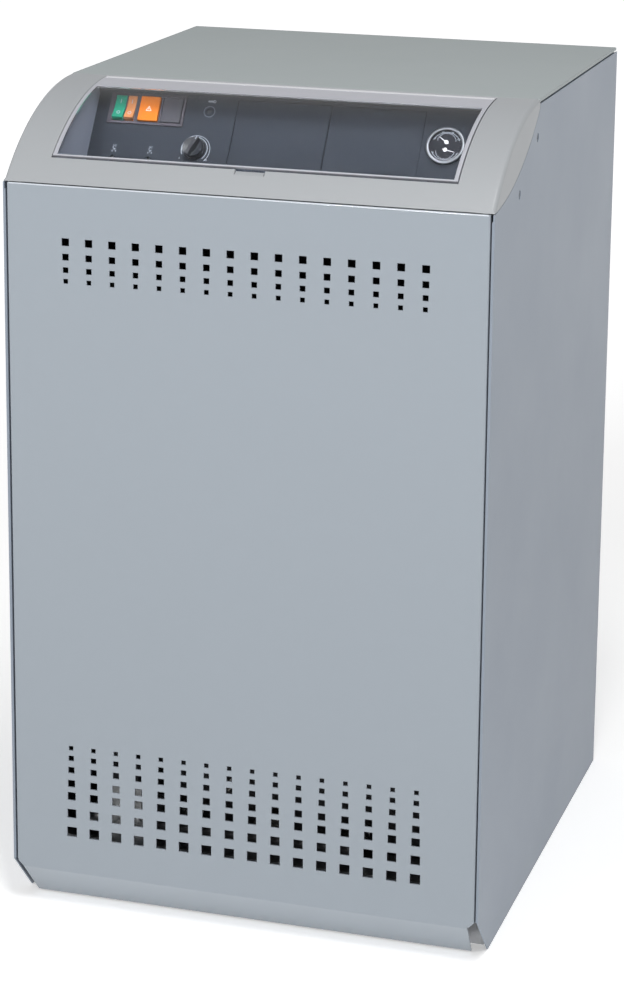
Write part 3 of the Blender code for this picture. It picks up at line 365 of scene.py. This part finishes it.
def slab(bm, points, low, high, place=Matrix.Identity(4)):
    """A flat outline with thickness, from low to high along its own Z."""
    under = [bm.verts.new(place @ Vector((x, y, low))) for x, y in points]
    over = [bm.verts.new(place @ Vector((x, y, high))) for x, y in points]
    bm.faces.new(list(reversed(under)))
    bm.faces.new(over)
    for i in range(len(points)):
        j = (i + 1) % len(points)
        bm.faces.new([under[i], under[j], over[j], over[i]])


def skin_rows(bm, rows):
    """Closes a row of matching rings into one solid."""
    for a, b in zip(rows, rows[1:]):
        for k in range(len(a)):
            m = (k + 1) % len(a)
            bm.faces.new([a[k], a[m], b[m], b[k]])
    bm.faces.new(rows[0])
    bm.faces.new(list(reversed(rows[-1])))


def block(bm, x, y, z, place=Matrix.Identity(4)):
    slab(bm, [(x[0], y[0]), (x[1], y[0]), (x[1], y[1]), (x[0], y[1])], z[0], z[1], place)


def rounded(width, height, radius, steps=5):
    """The outline of a rectangle with round corners about the origin."""
    points = []
    for sx, sy, turn in ((1, 1, 0), (-1, 1, 90), (-1, -1, 180), (1, -1, 270)):
        for i in range(steps + 1):
            a = math.radians(turn + 90 * i / steps)
            points.append((sx * (width / 2 - radius) + radius * math.cos(a),
                           sy * (height / 2 - radius) + radius * math.sin(a)))
    return points


def on_panel(x, y, z=0.0):
    return PANEL @ Matrix.Translation((x, y, z))


def height_field(bm, radius, height, place, rings=16, segments=72, skirt=0.0):
    """A round piece whose top follows height(x, y), down to a skirt."""
    grid = []
    for i in range(rings + 1):
        r = radius * i / rings
        row = []
        for j in range(segments):
            a = 2 * math.pi * j / segments
            x, y = r * math.cos(a), r * math.sin(a)
            row.append(bm.verts.new(place @ Vector((x, y, height(x, y)))))
        grid.append(row)
    base = []
    for j in range(segments):
        a = 2 * math.pi * j / segments
        spot = Vector((radius * math.cos(a), radius * math.sin(a), skirt))
        base.append(bm.verts.new(place @ spot))
    grid.append(base)
    for low, high in zip(grid, grid[1:]):
        for j in range(segments):
            k = (j + 1) % segments
            bm.faces.new([low[j], low[k], high[k], high[j]])
    bm.faces.new(base)
    bmesh.ops.remove_doubles(bm, verts=bm.verts, dist=1e-7)


def numeral(bm, text, size, place, height=0.00012):
    """Dial figures as thin solids, centred on a place."""
    curve = bpy.data.curves.new("figure", "FONT")
    curve.body, curve.size, curve.extrude = text, size, height / 2
    curve.align_x = curve.align_y = "CENTER"
    holder = bpy.data.objects.new("figure", curve)
    bpy.context.scene.collection.objects.link(holder)
    bpy.context.view_layer.update()
    solved = holder.evaluated_get(bpy.context.evaluated_depsgraph_get())
    mesh = bpy.data.meshes.new_from_object(solved)
    bpy.data.objects.remove(holder)
    mesh.transform(place)
    bm.from_mesh(mesh)
    bpy.data.meshes.remove(mesh)


# Cabinet


def door():
    """The folded door sheet, and a light glossy strip along its top edge that is a painted
    highlight.
    """
    bm = from_cad("front_door")
    outer = lambda v: near(v.y, FRONT) and (near(abs(v.x), DOOR_HALF) or near(v.z, DOOR_TOP))
    bevel(bm, DOOR_ROUND, 4, both(outer))
    fold = lambda v: near(v.y, FRONT) and near(v.z, DOOR_FOLD)
    bevel(bm, DOOR_ROUND, 3, both(fold), 10)
    bevel(bm, 0.00025, 1)
    piece("door_skin", bm, "door_paint", "front_door")
    bm = bmesh.new()
    section = ((-DOOR_HIGHLIGHT_HALF, DOOR_HIGHLIGHT_INNER), (DOOR_HIGHLIGHT_HALF, DOOR_HIGHLIGHT_INNER),
               (DOOR_HIGHLIGHT_HALF, DOOR_HIGHLIGHT_OUTER), (-DOOR_HIGHLIGHT_HALF, DOOR_HIGHLIGHT_OUTER))
    axis = (FRONT + DOOR_ROUND, DOOR_TOP - DOOR_ROUND)
    rows = []
    for i in range(9):
        a = math.radians(18 + 70 * i / 8)
        rows.append([bm.verts.new((x, axis[0] - r * math.cos(a), axis[1] + r * math.sin(a)))
                     for x, r in section])
    skin_rows(bm, rows)
    piece("door_top_bead", bm, "door_paint", body="door", finish=DOOR_HIGHLIGHT_PAINT)


def side(name):
    """A side panel with a hemmed front edge."""
    bm = from_cad(name)
    nose = lambda v: near(v.y, FRONT, 4e-4) and 0.05 < v.z < 0.79
    bevel(bm, 0.0011, 4, both(nose))
    bevel(bm, 0.0004, 2)
    # The side finish is darker than the door's: painted shade.
    piece(name.replace("panel", "skin"), bm, "side_paint", name)


def lid():
    """The lid with rounded upper edges."""
    bm = from_cad("lid")
    rim = lambda v: near(v.z, TOP)
    bevel(bm, 0.0013, 4, both(rim))
    bevel(bm, 0.0003, 2)
    piece("lid_skin", bm, "lid_paint", "lid")


def around_hood(radius, angle):
    """Y and Z of a point at a radius and an angle about the hood's axis."""
    return (FRONT + HOOD_DEPTH - radius * math.cos(angle), HOOD_Z + radius * math.sin(angle))


def cheek_depth(angle):
    """How far the hood's cheek reaches in from the hood's circle at an angle."""
    low = Vector((HOOD_DEPTH - math.sqrt(HOOD_R**2 - (HOOD_LOW - HOOD_Z) ** 2), HOOD_LOW))
    high = Vector((HOOD_DEPTH, CHEEK_TOP))
    chord = high - low
    radius = (chord.length**2 / 4 + CHEEK_SAG**2) / (2 * CHEEK_SAG)
    middle = (low + high) / 2 + Vector((-chord.y, chord.x)).normalized() * (radius - CHEEK_SAG)
    ray = Vector((-math.cos(angle), math.sin(angle)))
    offset = Vector((HOOD_DEPTH, HOOD_Z)) - middle
    b, c = offset.dot(ray), offset.length_squared - radius**2
    reach = -b - math.sqrt(max(0, b * b - c))
    return max(0.0, HOOD_R - reach)


def hood():
    """A curved shell with rounded long edges, side cheeks, a window opening and a finger notch."""
    start = math.asin((HOOD_LOW - HOOD_Z) / HOOD_R)
    back = math.acos((HOOD_DEPTH - OPEN_BACK) / HOOD_R)
    low = math.radians(OPEN_LOW)
    notch = low - NOTCH_TALL / HOOD_R
    angles = [start + (notch - start) * i / 5 for i in range(5)] + [notch]
    angles += [low + (back - low) * i / 36 for i in range(37)] + [math.pi / 2]
    face = HALF - 0.0001
    grid = []
    for angle in angles:
        deep = cheek_depth(angle)
        curve = max(1e-4, min(0.0045, 0.9 * deep))
        half = [(face, HOOD_R - deep + (deep - curve) * t) for t in (0, 0.5)]
        for i in range(7):
            a = math.pi / 2 * i / 6
            half.append((face - curve + curve * math.cos(a), HOOD_R - curve + curve * math.sin(a)))
        half += [(x, HOOD_R) for x in (0.235, 0.223, OPEN_HALF, 0.1, NOTCH_HALF)]
        section = half + [(-x, r) for x, r in reversed(half)]
        row = []
        for x, r in section:
            inner_r = min(r, HOOD_R - HOOD_WALL)
            inner_x = max(-face + HOOD_WALL, min(face - HOOD_WALL, x))
            row.append(((x, r), (inner_x, inner_r)))
        grid.append(row)
    bm = bmesh.new()

    def vert(point, angle):
        y, z = around_hood(point[1], angle)
        return bm.verts.new((point[0], y, max(HOOD_LOW, z)))

    skin = [[[vert(p, a) for p in pair] for pair in row] for row, a in zip(grid, angles)]
    columns = len(grid[0])

    def is_open(i, j):
        a = (angles[i] + angles[i + 1]) / 2
        x = abs(grid[i][j][0][0] + grid[i][j + 1][0][0]) / 2
        return (low < a < back and x < OPEN_HALF) or (notch < a < low and x < NOTCH_HALF)

    solid = [[not is_open(i, j) for j in range(columns - 1)] for i in range(len(angles) - 1)]

    def wall(a, b):
        bm.faces.new([a[0], b[0], b[1], a[1]])

    for i in range(len(angles) - 1):
        for j in range(columns - 1):
            if not solid[i][j]:
                continue
            for layer in (0, 1):
                corners = [skin[i][j][layer], skin[i][j + 1][layer],
                           skin[i + 1][j + 1][layer], skin[i + 1][j][layer]]
                bm.faces.new(corners)
            if j == 0 or not solid[i][j - 1]:
                wall(skin[i][j], skin[i + 1][j])
            if j == columns - 2 or not solid[i][j + 1]:
                wall(skin[i][j + 1], skin[i + 1][j + 1])
            if i == 0 or not solid[i - 1][j]:
                wall(skin[i][j], skin[i][j + 1])
            if i == len(angles) - 2 or not solid[i + 1][j]:
                wall(skin[i + 1][j], skin[i + 1][j + 1])
    bmesh.ops.remove_doubles(bm, verts=bm.verts, dist=4e-6)
    bmesh.ops.recalc_face_normals(bm, faces=bm.faces)
    edge = lambda v: (near(math.hypot(v.y - FRONT - HOOD_DEPTH, v.z - HOOD_Z), HOOD_R, 4e-4)
                      and abs(v.x) < 0.2490)
    bevel(bm, 0.0009, 3, both(edge), 50)
    piece("hood_shell", bm, "hood_plastic", "hood")
    notch_floor(notch, low)
    hood_fixings()


def notch_floor(notch, low):
    """The scooped floor of the finger notch, between two angles."""
    bm = bmesh.new()
    rows = []
    for i in range(9):
        t = i / 8
        a = notch - 0.001 + (low - 0.0035 - notch) * t
        top = HOOD_R - 0.0003 - 0.0016 * t**1.5
        rows.append([
            bm.verts.new((s * NOTCH_FLOOR_HALF, *around_hood(r, a)))
            for s, r in ((-1, top - 0.0015), (1, top - 0.0015), (1, top), (-1, top))
        ])
    skin_rows(bm, rows)
    piece("notch_floor", bm, "hood_plastic", body="cabinet")


def hood_fixings():
    """Ribs behind the hood, the screw tabs at its sides and the blocks for the flap's pins."""
    bm = bmesh.new()
    hinge_z = HOOD_Z + math.sqrt(HOOD_R**2 - (HOOD_DEPTH - HINGE_DEPTH) ** 2) - 0.003
    y = lambda depth: FRONT + depth
    block(bm, (-0.246, 0.246), (y(0.1836), y(0.1868)), (0.8605, 0.8638))
    block(bm, (-0.246, 0.246), (y(0.1838), y(0.2100)), (0.8600, 0.8630))
    for s in (-1, 1):
        for (depth, z), top in zip(SCREWS, (0.8585, 0.8250)):
            block(bm, sorted((s * 0.2478, s * 0.2513)), (y(depth - 0.008), y(depth + 0.0075)),
                  (z - 0.008, top))
        block(bm, sorted((s * 0.2118, s * 0.2220)), (y(0.1745), y(0.1845)),
              (hinge_z - 0.005, hinge_z + 0.0004))
    bevel(bm, 0.0004, 2)
    piece("hood_fixings", bm, "hood_plastic", body="cabinet")


def screw(name):
    """A round-headed screw with a cross recess."""
    low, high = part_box(name)
    s = 1 if high.x > 0 else -1
    middle = (low + high) / 2
    place = (Matrix.Translation((s * SCREW_FACE, middle.y, middle.z))
             @ Matrix.Rotation(s * math.pi / 2, 4, "Y") @ Matrix.Rotation(0.4, 4, "Z"))

    def head(x, y):
        r = math.hypot(x, y)
        dome = 0.0017 * math.sqrt(max(0, 1 - (r / 0.0046) ** 2))
        arm = min(abs(x), abs(y)) < 0.00055 and r < 0.0026
        return dome - (0.0009 if arm else 0)

    bm = bmesh.new()
    height_field(bm, 0.0042, head, place, rings=14, segments=48)
    shank = [(0, 0), (0.0019, 0), (0.0019, -0.0068), (0.0013, -0.0075), (0, -0.0075)]
    turn_profile(bm, shank, 24, place)
    piece(name + "_head", bm, "zinc", name, finish=SCREW_STEEL)


# Flap


def arc_slab(bm, half, inner, outer, low, high, steps):
    """A curved sheet about the hood's axis, between two angles in degrees."""
    rows = []
    for i in range(steps + 1):
        a = math.radians(low + (high - low) * i / steps)
        rows.append([bm.verts.new((x, *around_hood(r, a)))
                     for x, r in ((-half, inner), (half, inner), (half, outer), (-half, outer))])
    skin_rows(bm, rows)


def flap():
    """The flap's frame, a light glossy strip along its top edge that is a painted highlight, and
    its clear pane.
    """
    bm = from_cad("flap_frame")
    bevel(bm, 0.0006, 3)
    piece("flap_rim", bm, "hood_plastic", "flap_frame", finish=FLAP_GREY)
    bm = bmesh.new()
    arc_slab(bm, FLAP_HIGHLIGHT_HALF, FLAP_HIGHLIGHT_INNER, FLAP_HIGHLIGHT_OUTER, FLAP_HIGHLIGHT_LOW, FLAP_HIGHLIGHT_HIGH, 3)
    piece("flap_top_strip", bm, "hood_plastic", body="flap", finish=FLAP_HIGHLIGHT_PAINT)
    bm = bmesh.new()
    arc_slab(bm, PANE_HALF, PANE_INNER, PANE_OUTER, PANE_LOW, PANE_HIGH, 42)
    bevel(bm, 0.0003, 2, None, 50)
    piece("flap_window", bm, "clear_plastic", "flap_pane")


# Control panel


def panel():
    """The sloped panel, lighter liners on the side walls of its recess whose colour is painted
    light, the blanking plates and the switch bezel.
    """
    bm = from_cad("control_panel")
    bevel(bm, 0.0005, 2)
    piece("panel_tray", bm, "dark_plastic", "control_panel")
    # Liners on the recess walls, lighter than the tray: painted light.
    sheet = Matrix.Translation((0, FRONT, 0)) @ SIDE_ON
    flat = lambda up: (PANEL @ Vector((0, up, 0.0006))).yz
    corners = [(y - FRONT, z) for y, z in (flat(-0.042), flat(0.072))]
    for degrees in range(83, 44, -2):
        y, z = around_hood(RECESS_R, math.radians(degrees))
        corners.append((y - FRONT, z))
    bm = bmesh.new()
    for s in (-1, 1):
        slab(bm, corners, *sorted((s * RECESS_INNER, s * RECESS_OUTER)), sheet)
    piece("recess_cheeks", bm, "dark_plastic", body="cabinet", finish=RECESS_PAINTED_LIGHT, smooth=False)
    for name in ("left_blank_plate", "right_blank_plate", "switch_bezel"):
        bm = from_cad(name)
        blank = "blank" in name
        bevel(bm, 0.0005 if blank else 0.0004, 3)
        slot = "dark_plastic" if blank else "black_plastic"
        title = name.replace("plate", "cover").replace("bezel", "surround")
        piece(title, bm, slot, name, finish=None if blank else BEZEL_PLASTIC)


def rocker(node, x, width, slot):
    """A translucent rocker with a dished face and two moulded marks."""
    tilt = (PANEL @ Matrix.Translation((x, SWITCH_UP, -0.0035))
            @ Matrix.Rotation(math.radians(-8), 4, "X"))
    half, steps = 0.0130, 14
    top = []
    for i in range(steps + 1):
        u = -half + 2 * half * i / steps
        top.append((u, 0.0054 + 0.0018 * (u / half) ** 2))
    outline = top + [(half, -0.0005), (0.0040, -0.0040), (-0.0040, -0.0040), (-half, -0.0005)]
    bm = bmesh.new()
    slab(bm, outline, -width / 2, width / 2, tilt @ SIDE_ON)
    bevel(bm, 0.0004, 3, None, 60)
    piece(node + "_cap", bm, slot, node)
    bm = bmesh.new()

    def mark(s):
        lean = Matrix.Rotation(math.radians(s * 8), 4, "X")
        return tilt @ Matrix.Translation((0, s * 0.0068, 0.0059)) @ lean

    block(bm, (-0.0004, 0.0004), (-0.0022, 0.0022), (0, 0.0002), mark(1))
    ring_shape(bm, 0.0013, 0.0020, 0, 360, mark(-1), 0.0002, 24)
    piece(node + "_marks", bm, "white_paint", body=node, finish=PRINT_DIM, smooth=False)


def buttons():
    """The fault button with its triangle, and the blanking cap beside it."""
    for node, slot, finish in (("fault_button", "orange_lens", None),
                               ("switch_blank", "black_plastic", BLANK_PLASTIC)):
        bm = from_cad(node)
        bevel(bm, 0.0005, 3)
        piece(node + "_cap", bm, slot, node, finish=finish)
    inverse = PANEL.inverted()
    top = max((inverse @ v.co).z for v in NODES["fault_button"].data.vertices)
    place = on_panel(ORANGE_X, SWITCH_UP - 0.001, top - 0.00002)
    bm = bmesh.new()
    size, thin = 0.0032, 0.0006
    corners = [Vector((size * math.cos(math.radians(a)), size * math.sin(math.radians(a))))
               for a in (90, 210, 330)]
    for i in range(3):
        a, b = corners[i], corners[(i + 1) % 3]
        along = (b - a).normalized()
        across = Vector((-along.y, along.x)) * thin / 2
        ends = (a - along * thin / 2, b + along * thin / 2)
        slab(bm, [ends[0] - across, ends[1] - across, ends[1] + across, ends[0] + across],
             0, PRINT_THICK + 0.00001 * i, place)
    stroke = [(0.0004, -0.0004), (0.0005, 0.0012), (-0.0005, 0.0012), (-0.0004, -0.0004)]
    slab(bm, stroke, 0, 0.0002, place)
    piece("fault_triangle", bm, "white_paint", body="fault_button", finish=PRINT, smooth=False)


def knob():
    """The thermostat knob with its grip bar and pointer, and the printed scale around it."""
    place = on_panel(*KNOB) @ Matrix.Rotation(math.radians(-25), 4, "Z")
    ridge, floor, radius = 0.0128, 0.0058, 0.0112

    def top(x, y):
        r = math.hypot(x, y)
        side = min(1.0, max(0.0, (abs(x) - 0.0016) / 0.0022))
        side = side * side * (3 - 2 * side)
        bar = ridge - 0.0012 * (y / radius) ** 2
        scoop = floor + 0.0030 * (r / radius) ** 2
        z = bar * (1 - side) + scoop * side
        rim = max(0.0, (r - 0.0103) / 0.0009)
        return z - 0.0022 * min(1, rim) ** 2

    bm = bmesh.new()
    height_field(bm, radius, top, place, rings=30, segments=96, skirt=0.0030)
    profile = [(0, 0.0032), (0.0117, 0.0032), (0.0121, 0.0028), (0.0122, 0.0012), (0.0119, 0.0008),
               (0.0030, 0.0008), (0.0030, -0.0138), (0.0026, -0.0140), (0, -0.0140)]
    turn_profile(bm, profile, 72, place)
    piece("knob_body", bm, "black_plastic", "thermostat_knob")
    bm = bmesh.new()
    slab(bm, [(-0.0003, 0.0070), (0.0003, 0.0070), (0.0003, 0.0104), (-0.0003, 0.0104)],
         0.0112, ridge - 0.0002, place)
    piece("knob_pointer", bm, "white_paint", body="knob", finish=PRINT_DIM, smooth=False)
    bm = bmesh.new()
    base = on_panel(*KNOB, 0.00001)
    steps = 60
    for inner_gap, swell in ((0.0135, 0.0), (0.0141, 0.0030)):
        path, outer = [], []
        for i in range(steps + 1):
            a = math.radians(205 - 250 * i / steps)
            r = inner_gap + swell * (i / steps) ** 1.3
            path.append((r * math.cos(a), r * math.sin(a)))
            outer.append(((r + 0.0006) * math.cos(a), (r + 0.0006) * math.sin(a)))
        slab(bm, path + list(reversed(outer)), 0, PRINT_THICK, base)
    for text, a in (("0", 216), ("90", -38)):
        r = 0.0180
        numeral(bm, text, 0.0028, base @ Matrix.Translation(
            (r * math.cos(math.radians(a)), r * math.sin(math.radians(a)), 0.0001)))
    piece("knob_scale_print", bm, "zinc", "knob_scale", finish=PRINT_DIM, smooth=False)


def reset():
    """The safety thermostat's socket and pin, and the marks printed over it and the holes."""
    bm = from_cad("reset_socket")
    bevel(bm, 0.0003, 2)
    piece("reset_collar", bm, "black_plastic", "reset_socket", finish=FINISHES["dark_plastic"])
    bm = from_cad("reset_pin")
    bevel(bm, 0.0004, 3)
    piece("reset_plunger", bm, "black_plastic", "reset_pin")
    bm = bmesh.new()
    place = on_panel(RESET[0], RESET[1] + 0.0115)
    slab(bm, rounded(0.0068, 0.0020, 0.0009), 0, PRINT_THICK, place)
    ring_shape(bm, 0.0009, 0.0017, 0, 360, place @ Matrix.Translation((0.0036, 0, 0)), 0.0002, 20)
    for x, y in SYMBOLS:
        spot = on_panel(x + 0.0008, y + 0.0105)
        ring_shape(bm, 0.0014, 0.0019, 30, 330, spot, PRINT_THICK, 20)
        slab(bm, [(-0.0004, -0.0036), (0.0004, -0.0036), (0.0003, -0.0010), (-0.0003, -0.0010)],
             0, PRINT_THICK, spot)
        for i, a in enumerate((60, 90, 120)):
            ray = spot @ Matrix.Rotation(math.radians(a), 4, "Z")
            block(bm, (0.0024, 0.0036), (-0.0002, 0.0002), (0, PRINT_THICK + 0.00001 * i), ray)
        for s in (-1, 1):
            block(bm, sorted((s * 0.0016, s * 0.0023)), (-0.0052, -0.0030), (0, PRINT_THICK), spot)
    piece("panel_symbols", bm, "white_paint", body="cabinet", finish=PRINT_DIM, smooth=False)
    bm = bmesh.new()
    ring_shape(bm, 0.0056, 0.0062, 0, 360, on_panel(*RESET), PRINT_THICK, 40)
    piece("socket_ring", bm, "white_paint", body="cabinet", finish=PRINT_FAINT, smooth=False)


def gauge():
    """The thermomanometer: its ring, dial, glass and case."""
    place = on_panel(*GAUGE)
    bm = bmesh.new()
    profile = [(0.0171, 0.0035), (0.0174, 0.0039), (0.0181, 0.0041), (0.0190, 0.0041),
               (0.0198, 0.0038), (0.0204, 0.0031), (0.0206, 0.0022), (0.0206, 0.0004),
               (0.0188, 0.0004), (0.0188, 0.0034), (0.0171, 0.0035)]
    turn_profile(bm, profile, 96, place)
    bmesh.ops.remove_doubles(bm, verts=bm.verts, dist=1e-7)
    piece("gauge_ring", bm, "chrome", "gauge_bezel", finish=SATIN_RING)
    bm = bmesh.new()
    dial = [(0, 0.0007), (0.0180, 0.0007), (0.0180, DIAL_TOP), (0, DIAL_TOP)]
    turn_profile(bm, dial, 72, place)
    piece("gauge_face", bm, "black_plastic", "gauge_dial", finish=DIAL_BLACK)
    bm = bmesh.new()
    turn_profile(bm, [(0, 0.0027), (0.0176, 0.0027), (0.0178, 0.0028), (0.0178, 0.0032),
                      (0.0176, 0.0033), (0, 0.0034)], 72, place)
    piece("gauge_lens", bm, "clear_plastic", "gauge_glass", finish=DIAL_GLASS)
    bm = from_cad("gauge_case")
    bevel(bm, 0.0006, 3)
    piece("gauge_body", bm, "black_plastic", "gauge_case")
    gauge_print(place)
    needles()


def gauge_print(place):
    """The dial's arcs, ticks and figures: temperature above, pressure below."""
    middle = place @ Matrix.Translation((0, 0, DIAL_TOP))
    up = place @ Matrix.Translation((0, NEEDLE_UP, DIAL_TOP))
    down = place @ Matrix.Translation((0, -NEEDLE_UP, DIAL_TOP))
    bm = bmesh.new()
    ring_shape(bm, 0.0148, 0.0153, 25, 155, middle, 0.0001, 50)
    ring_shape(bm, 0.0148, 0.0153, 205, 335, middle, 0.0001, 50)
    ring_shape(bm, 0.0098, 0.0102, 10, 170, up, 0.0001, 50)
    ring_shape(bm, 0.0098, 0.0102, 190, 350, down, 0.0001, 50)
    for centre, first in ((up, 10), (down, 190)):
        for i in range(17):
            spoke = centre @ Matrix.Rotation(math.radians(first + 10 * i), 4, "Z")
            reach = 0.0088 if i % 4 == 0 else 0.0093
            block(bm, (reach, 0.0099), (-0.00014, 0.00014), (0, 0.00012), spoke)
    for centre, first, step, figures in ((up, 162, -48, ("0", "40", "80", "120")),
                                         (down, 198, 36, ("0", "1", "2", "3", "4"))):
        for i, text in enumerate(figures):
            a = math.radians(first + step * i)
            spot = Matrix.Translation((0.0126 * math.cos(a), 0.0118 * math.sin(a), 0.0001))
            numeral(bm, text, 0.0026, centre @ spot, 0.0001)
    piece("gauge_print", bm, "white_paint", body="cabinet", finish=PRINT_DIM, smooth=False)


def needles():
    """Two white hands, each with its hub."""
    boss = [(0, 0.0013), (0.0021, 0.0013), (0.0021, 0.0019), (0.0015, 0.0023), (0, 0.0024)]
    shape = [(-0.0030, -0.0004), (0.0, -0.0006), (0.0098, -0.00015),
             (0.0098, 0.00015), (0.0, 0.0006), (-0.0030, 0.0004)]
    for node, centre, point in (("temperature_needle", NEEDLE_UP, 146),
                                ("pressure_needle", -NEEDLE_UP, -12)):
        hub = on_panel(GAUGE[0], GAUGE[1] + centre)
        bm = bmesh.new()
        turn_profile(bm, boss, 32, hub)
        slab(bm, shape, 0.00155, 0.00185, hub @ Matrix.Rotation(math.radians(point), 4, "Z"))
        piece(node + "_hand", bm, "white_paint", node)


# Inner parts painted dark so that the door's holes look shaded: painted shade.
SHADED_NODES = ("flue_collector", "gas_manifold", "burner_plate")


def inside_parts():
    """The parts that keep their CAD shape get their finish and slightly rounded edges; the tie rods
    and the listed inner parts behind the door's holes get dark steel, a painted shade, in place of
    their own finish.
    """
    shown = [n for n, o in NODES.items() if not o.hide_render]
    for name in shown:
        node = NODES[name]
        slot = node.material_slots[0].material.name.split(".")[0]
        dark = name.endswith("tie_rod") or name in SHADED_NODES
        for s in node.material_slots:
            s.material = SHADE_STEEL if dark else FINISHES[slot]
        round_edges(node, 0.0012 if slot in ("cast_iron", "mineral_wool") else 0.0005)


def weld_group():
    """Geometry nodes that join a tessellated node's faces again and shade it smooth."""
    group = bpy.data.node_groups.new("weld_and_smooth", "GeometryNodeTree")
    group.interface.new_socket("Geometry", in_out="INPUT", socket_type="NodeSocketGeometry")
    group.interface.new_socket("Geometry", in_out="OUTPUT", socket_type="NodeSocketGeometry")
    names = ("NodeGroupInput", "GeometryNodeMergeByDistance", "GeometryNodeRemoveAttribute",
             "GeometryNodeSetShadeSmooth", "NodeGroupOutput")
    chain = [group.nodes.new(n) for n in names]
    chain[1].inputs["Distance"].default_value = 2e-6
    chain[2].inputs["Name"].default_value = "custom_normal"
    for a, b in zip(chain, chain[1:]):
        group.links.new(a.outputs[0], b.inputs[0])
    return group


WELD = weld_group()


def round_edges(node, width):
    """Welds a node's mesh and rounds its sharp edges."""
    weld = node.modifiers.new("weld", "NODES")
    weld.node_group = WELD
    edge = node.modifiers.new("edges", "BEVEL")
    edge.width, edge.segments = width, 2
    edge.limit_method, edge.angle_limit = "ANGLE", math.radians(40)
    edge.use_clamp_overlap = True
    weigh = node.modifiers.new("normals", "WEIGHTED_NORMAL")
    weigh.keep_sharp = False


# Stage


def stage():
    """A pale floor that glows more with distance, so that it meets the white background."""
    bm = bmesh.new()
    turn_profile(bm, [(0, -0.0005), (3.0, -0.0005), (40.0, -0.0005)], 64)
    mesh = bpy.data.meshes.new("floor")
    bm.to_mesh(mesh)
    bm.free()
    floor = bpy.data.objects.new("floor", mesh)
    bpy.context.scene.collection.objects.link(floor)
    pale = surface("floor_pale", (0.88, 0.88, 0.88), 0.8, vary=0.01, bump=1e-6)
    shader = pale.node_tree.nodes["Principled BSDF"]
    shader.inputs["Emission Color"].default_value = (1, 1, 1, 1)
    tree = pale.node_tree
    place = tree.nodes.new("ShaderNodeTexCoord")
    reach = tree.nodes.new("ShaderNodeVectorMath")
    reach.operation = "LENGTH"
    glow = tree.nodes.new("ShaderNodeMapRange")
    for key, value in zip(("From Min", "From Max", "To Min", "To Max"), (1.2, 3.5, 0.40, 0.75)):
        glow.inputs[key].default_value = value
    tree.links.new(place.outputs["Object"], reach.inputs[0])
    tree.links.new(reach.outputs["Value"], glow.inputs["Value"])
    tree.links.new(glow.outputs["Result"], shader.inputs["Emission Strength"])
    mesh.materials.append(pale)


def lamp(name, location, target, size, power):
    """A white area lamp of a size in metres and a power in watts, turned to a target."""
    data = bpy.data.lights.new(name, "AREA")
    data.shape, data.size, data.size_y = "RECTANGLE", size[0], size[1]
    data.energy = power
    made = bpy.data.objects.new(name, data)
    bpy.context.scene.collection.objects.link(made)
    made.location = location
    made.rotation_euler = (Vector(target) - Vector(location)).to_track_quat("-Z", "Y").to_euler()


def studio():
    """Three area lamps and a pale sky that is dimmer overhead; the camera sees plain white."""
    scene = bpy.context.scene
    for name in ("Light", "Camera", "Cube"):
        if name in bpy.data.objects:
            bpy.data.objects.remove(bpy.data.objects[name])
    scene.view_settings.view_transform = "Standard"
    world = bpy.data.worlds.new("studio")
    scene.world = world
    world.use_nodes = True
    tree = world.node_tree
    sky = tree.nodes["Background"]
    place = tree.nodes.new("ShaderNodeTexCoord")
    split = tree.nodes.new("ShaderNodeSeparateXYZ")
    dim = tree.nodes.new("ShaderNodeMapRange")
    for key, value in zip(("From Min", "From Max", "To Min", "To Max"), (0.05, 0.75, 0.72, 0.24)):
        dim.inputs[key].default_value = value
    tree.links.new(place.outputs["Generated"], split.inputs[0])
    tree.links.new(split.outputs["Z"], dim.inputs["Value"])
    tree.links.new(dim.outputs["Result"], sky.inputs["Strength"])
    sky.inputs["Color"].default_value = (1.0, 1.0, 1.0, 1)
    backdrop = tree.nodes.new("ShaderNodeBackground")
    backdrop.inputs["Color"].default_value = (1.0, 1.0, 1.0, 1)
    path = tree.nodes.new("ShaderNodeLightPath")
    pick = tree.nodes.new("ShaderNodeMixShader")
    tree.links.new(path.outputs["Is Camera Ray"], pick.inputs[0])
    tree.links.new(sky.outputs[0], pick.inputs[1])
    tree.links.new(backdrop.outputs[0], pick.inputs[2])
    tree.links.new(pick.outputs[0], tree.nodes["World Output"].inputs["Surface"])
    lamp("key", (-0.75, -3.2, 2.5), (0, -0.2, 0.45), (0.4, 0.4), 42)
    lamp("side_fill", (3.2, -1.4, 1.6), (0.2, 0, 0.45), (1.6, 1.6), 2)
    lamp("top_softbox", (0.60, -1.3, 3.2), (0, -0.1, 0.8), (0.6, 1.4), 52)


def camera():
    """A long lens in front of the cabinet, to its right and above it."""
    yaw, downward, roll = 17.09, 13.404, 0.512
    data = bpy.data.cameras.new("camera")
    data.sensor_width, data.lens = 36.0, 102.58
    data.shift_x, data.shift_y = 0.0, -0.19
    made = bpy.data.objects.new("camera", data)
    bpy.context.scene.collection.objects.link(made)
    made.matrix_world = (
        Matrix.Translation((0.87276, FRONT - 2.603, 1.32488))
        @ Matrix.Rotation(math.radians(yaw), 4, "Z")
        @ Matrix.Rotation(math.radians(90 - downward), 4, "X")
        @ Matrix.Rotation(math.radians(roll), 4, "Z")
    )
    bpy.context.scene.camera = made


camera()
studio()
stage()
door()
side("left_side_panel")
side("right_side_panel")
lid()
hood()
for corner in ("left_upper", "left_lower", "right_upper", "right_lower"):
    screw(corner + "_hood_screw")
flap()
panel()
rocker("mains_rocker", GREEN_X, 0.0116, "green_lens")
rocker("season_rocker", AMBER_X, 0.0096, "amber_lens")
buttons()
knob()
reset()
gauge()
inside_parts()
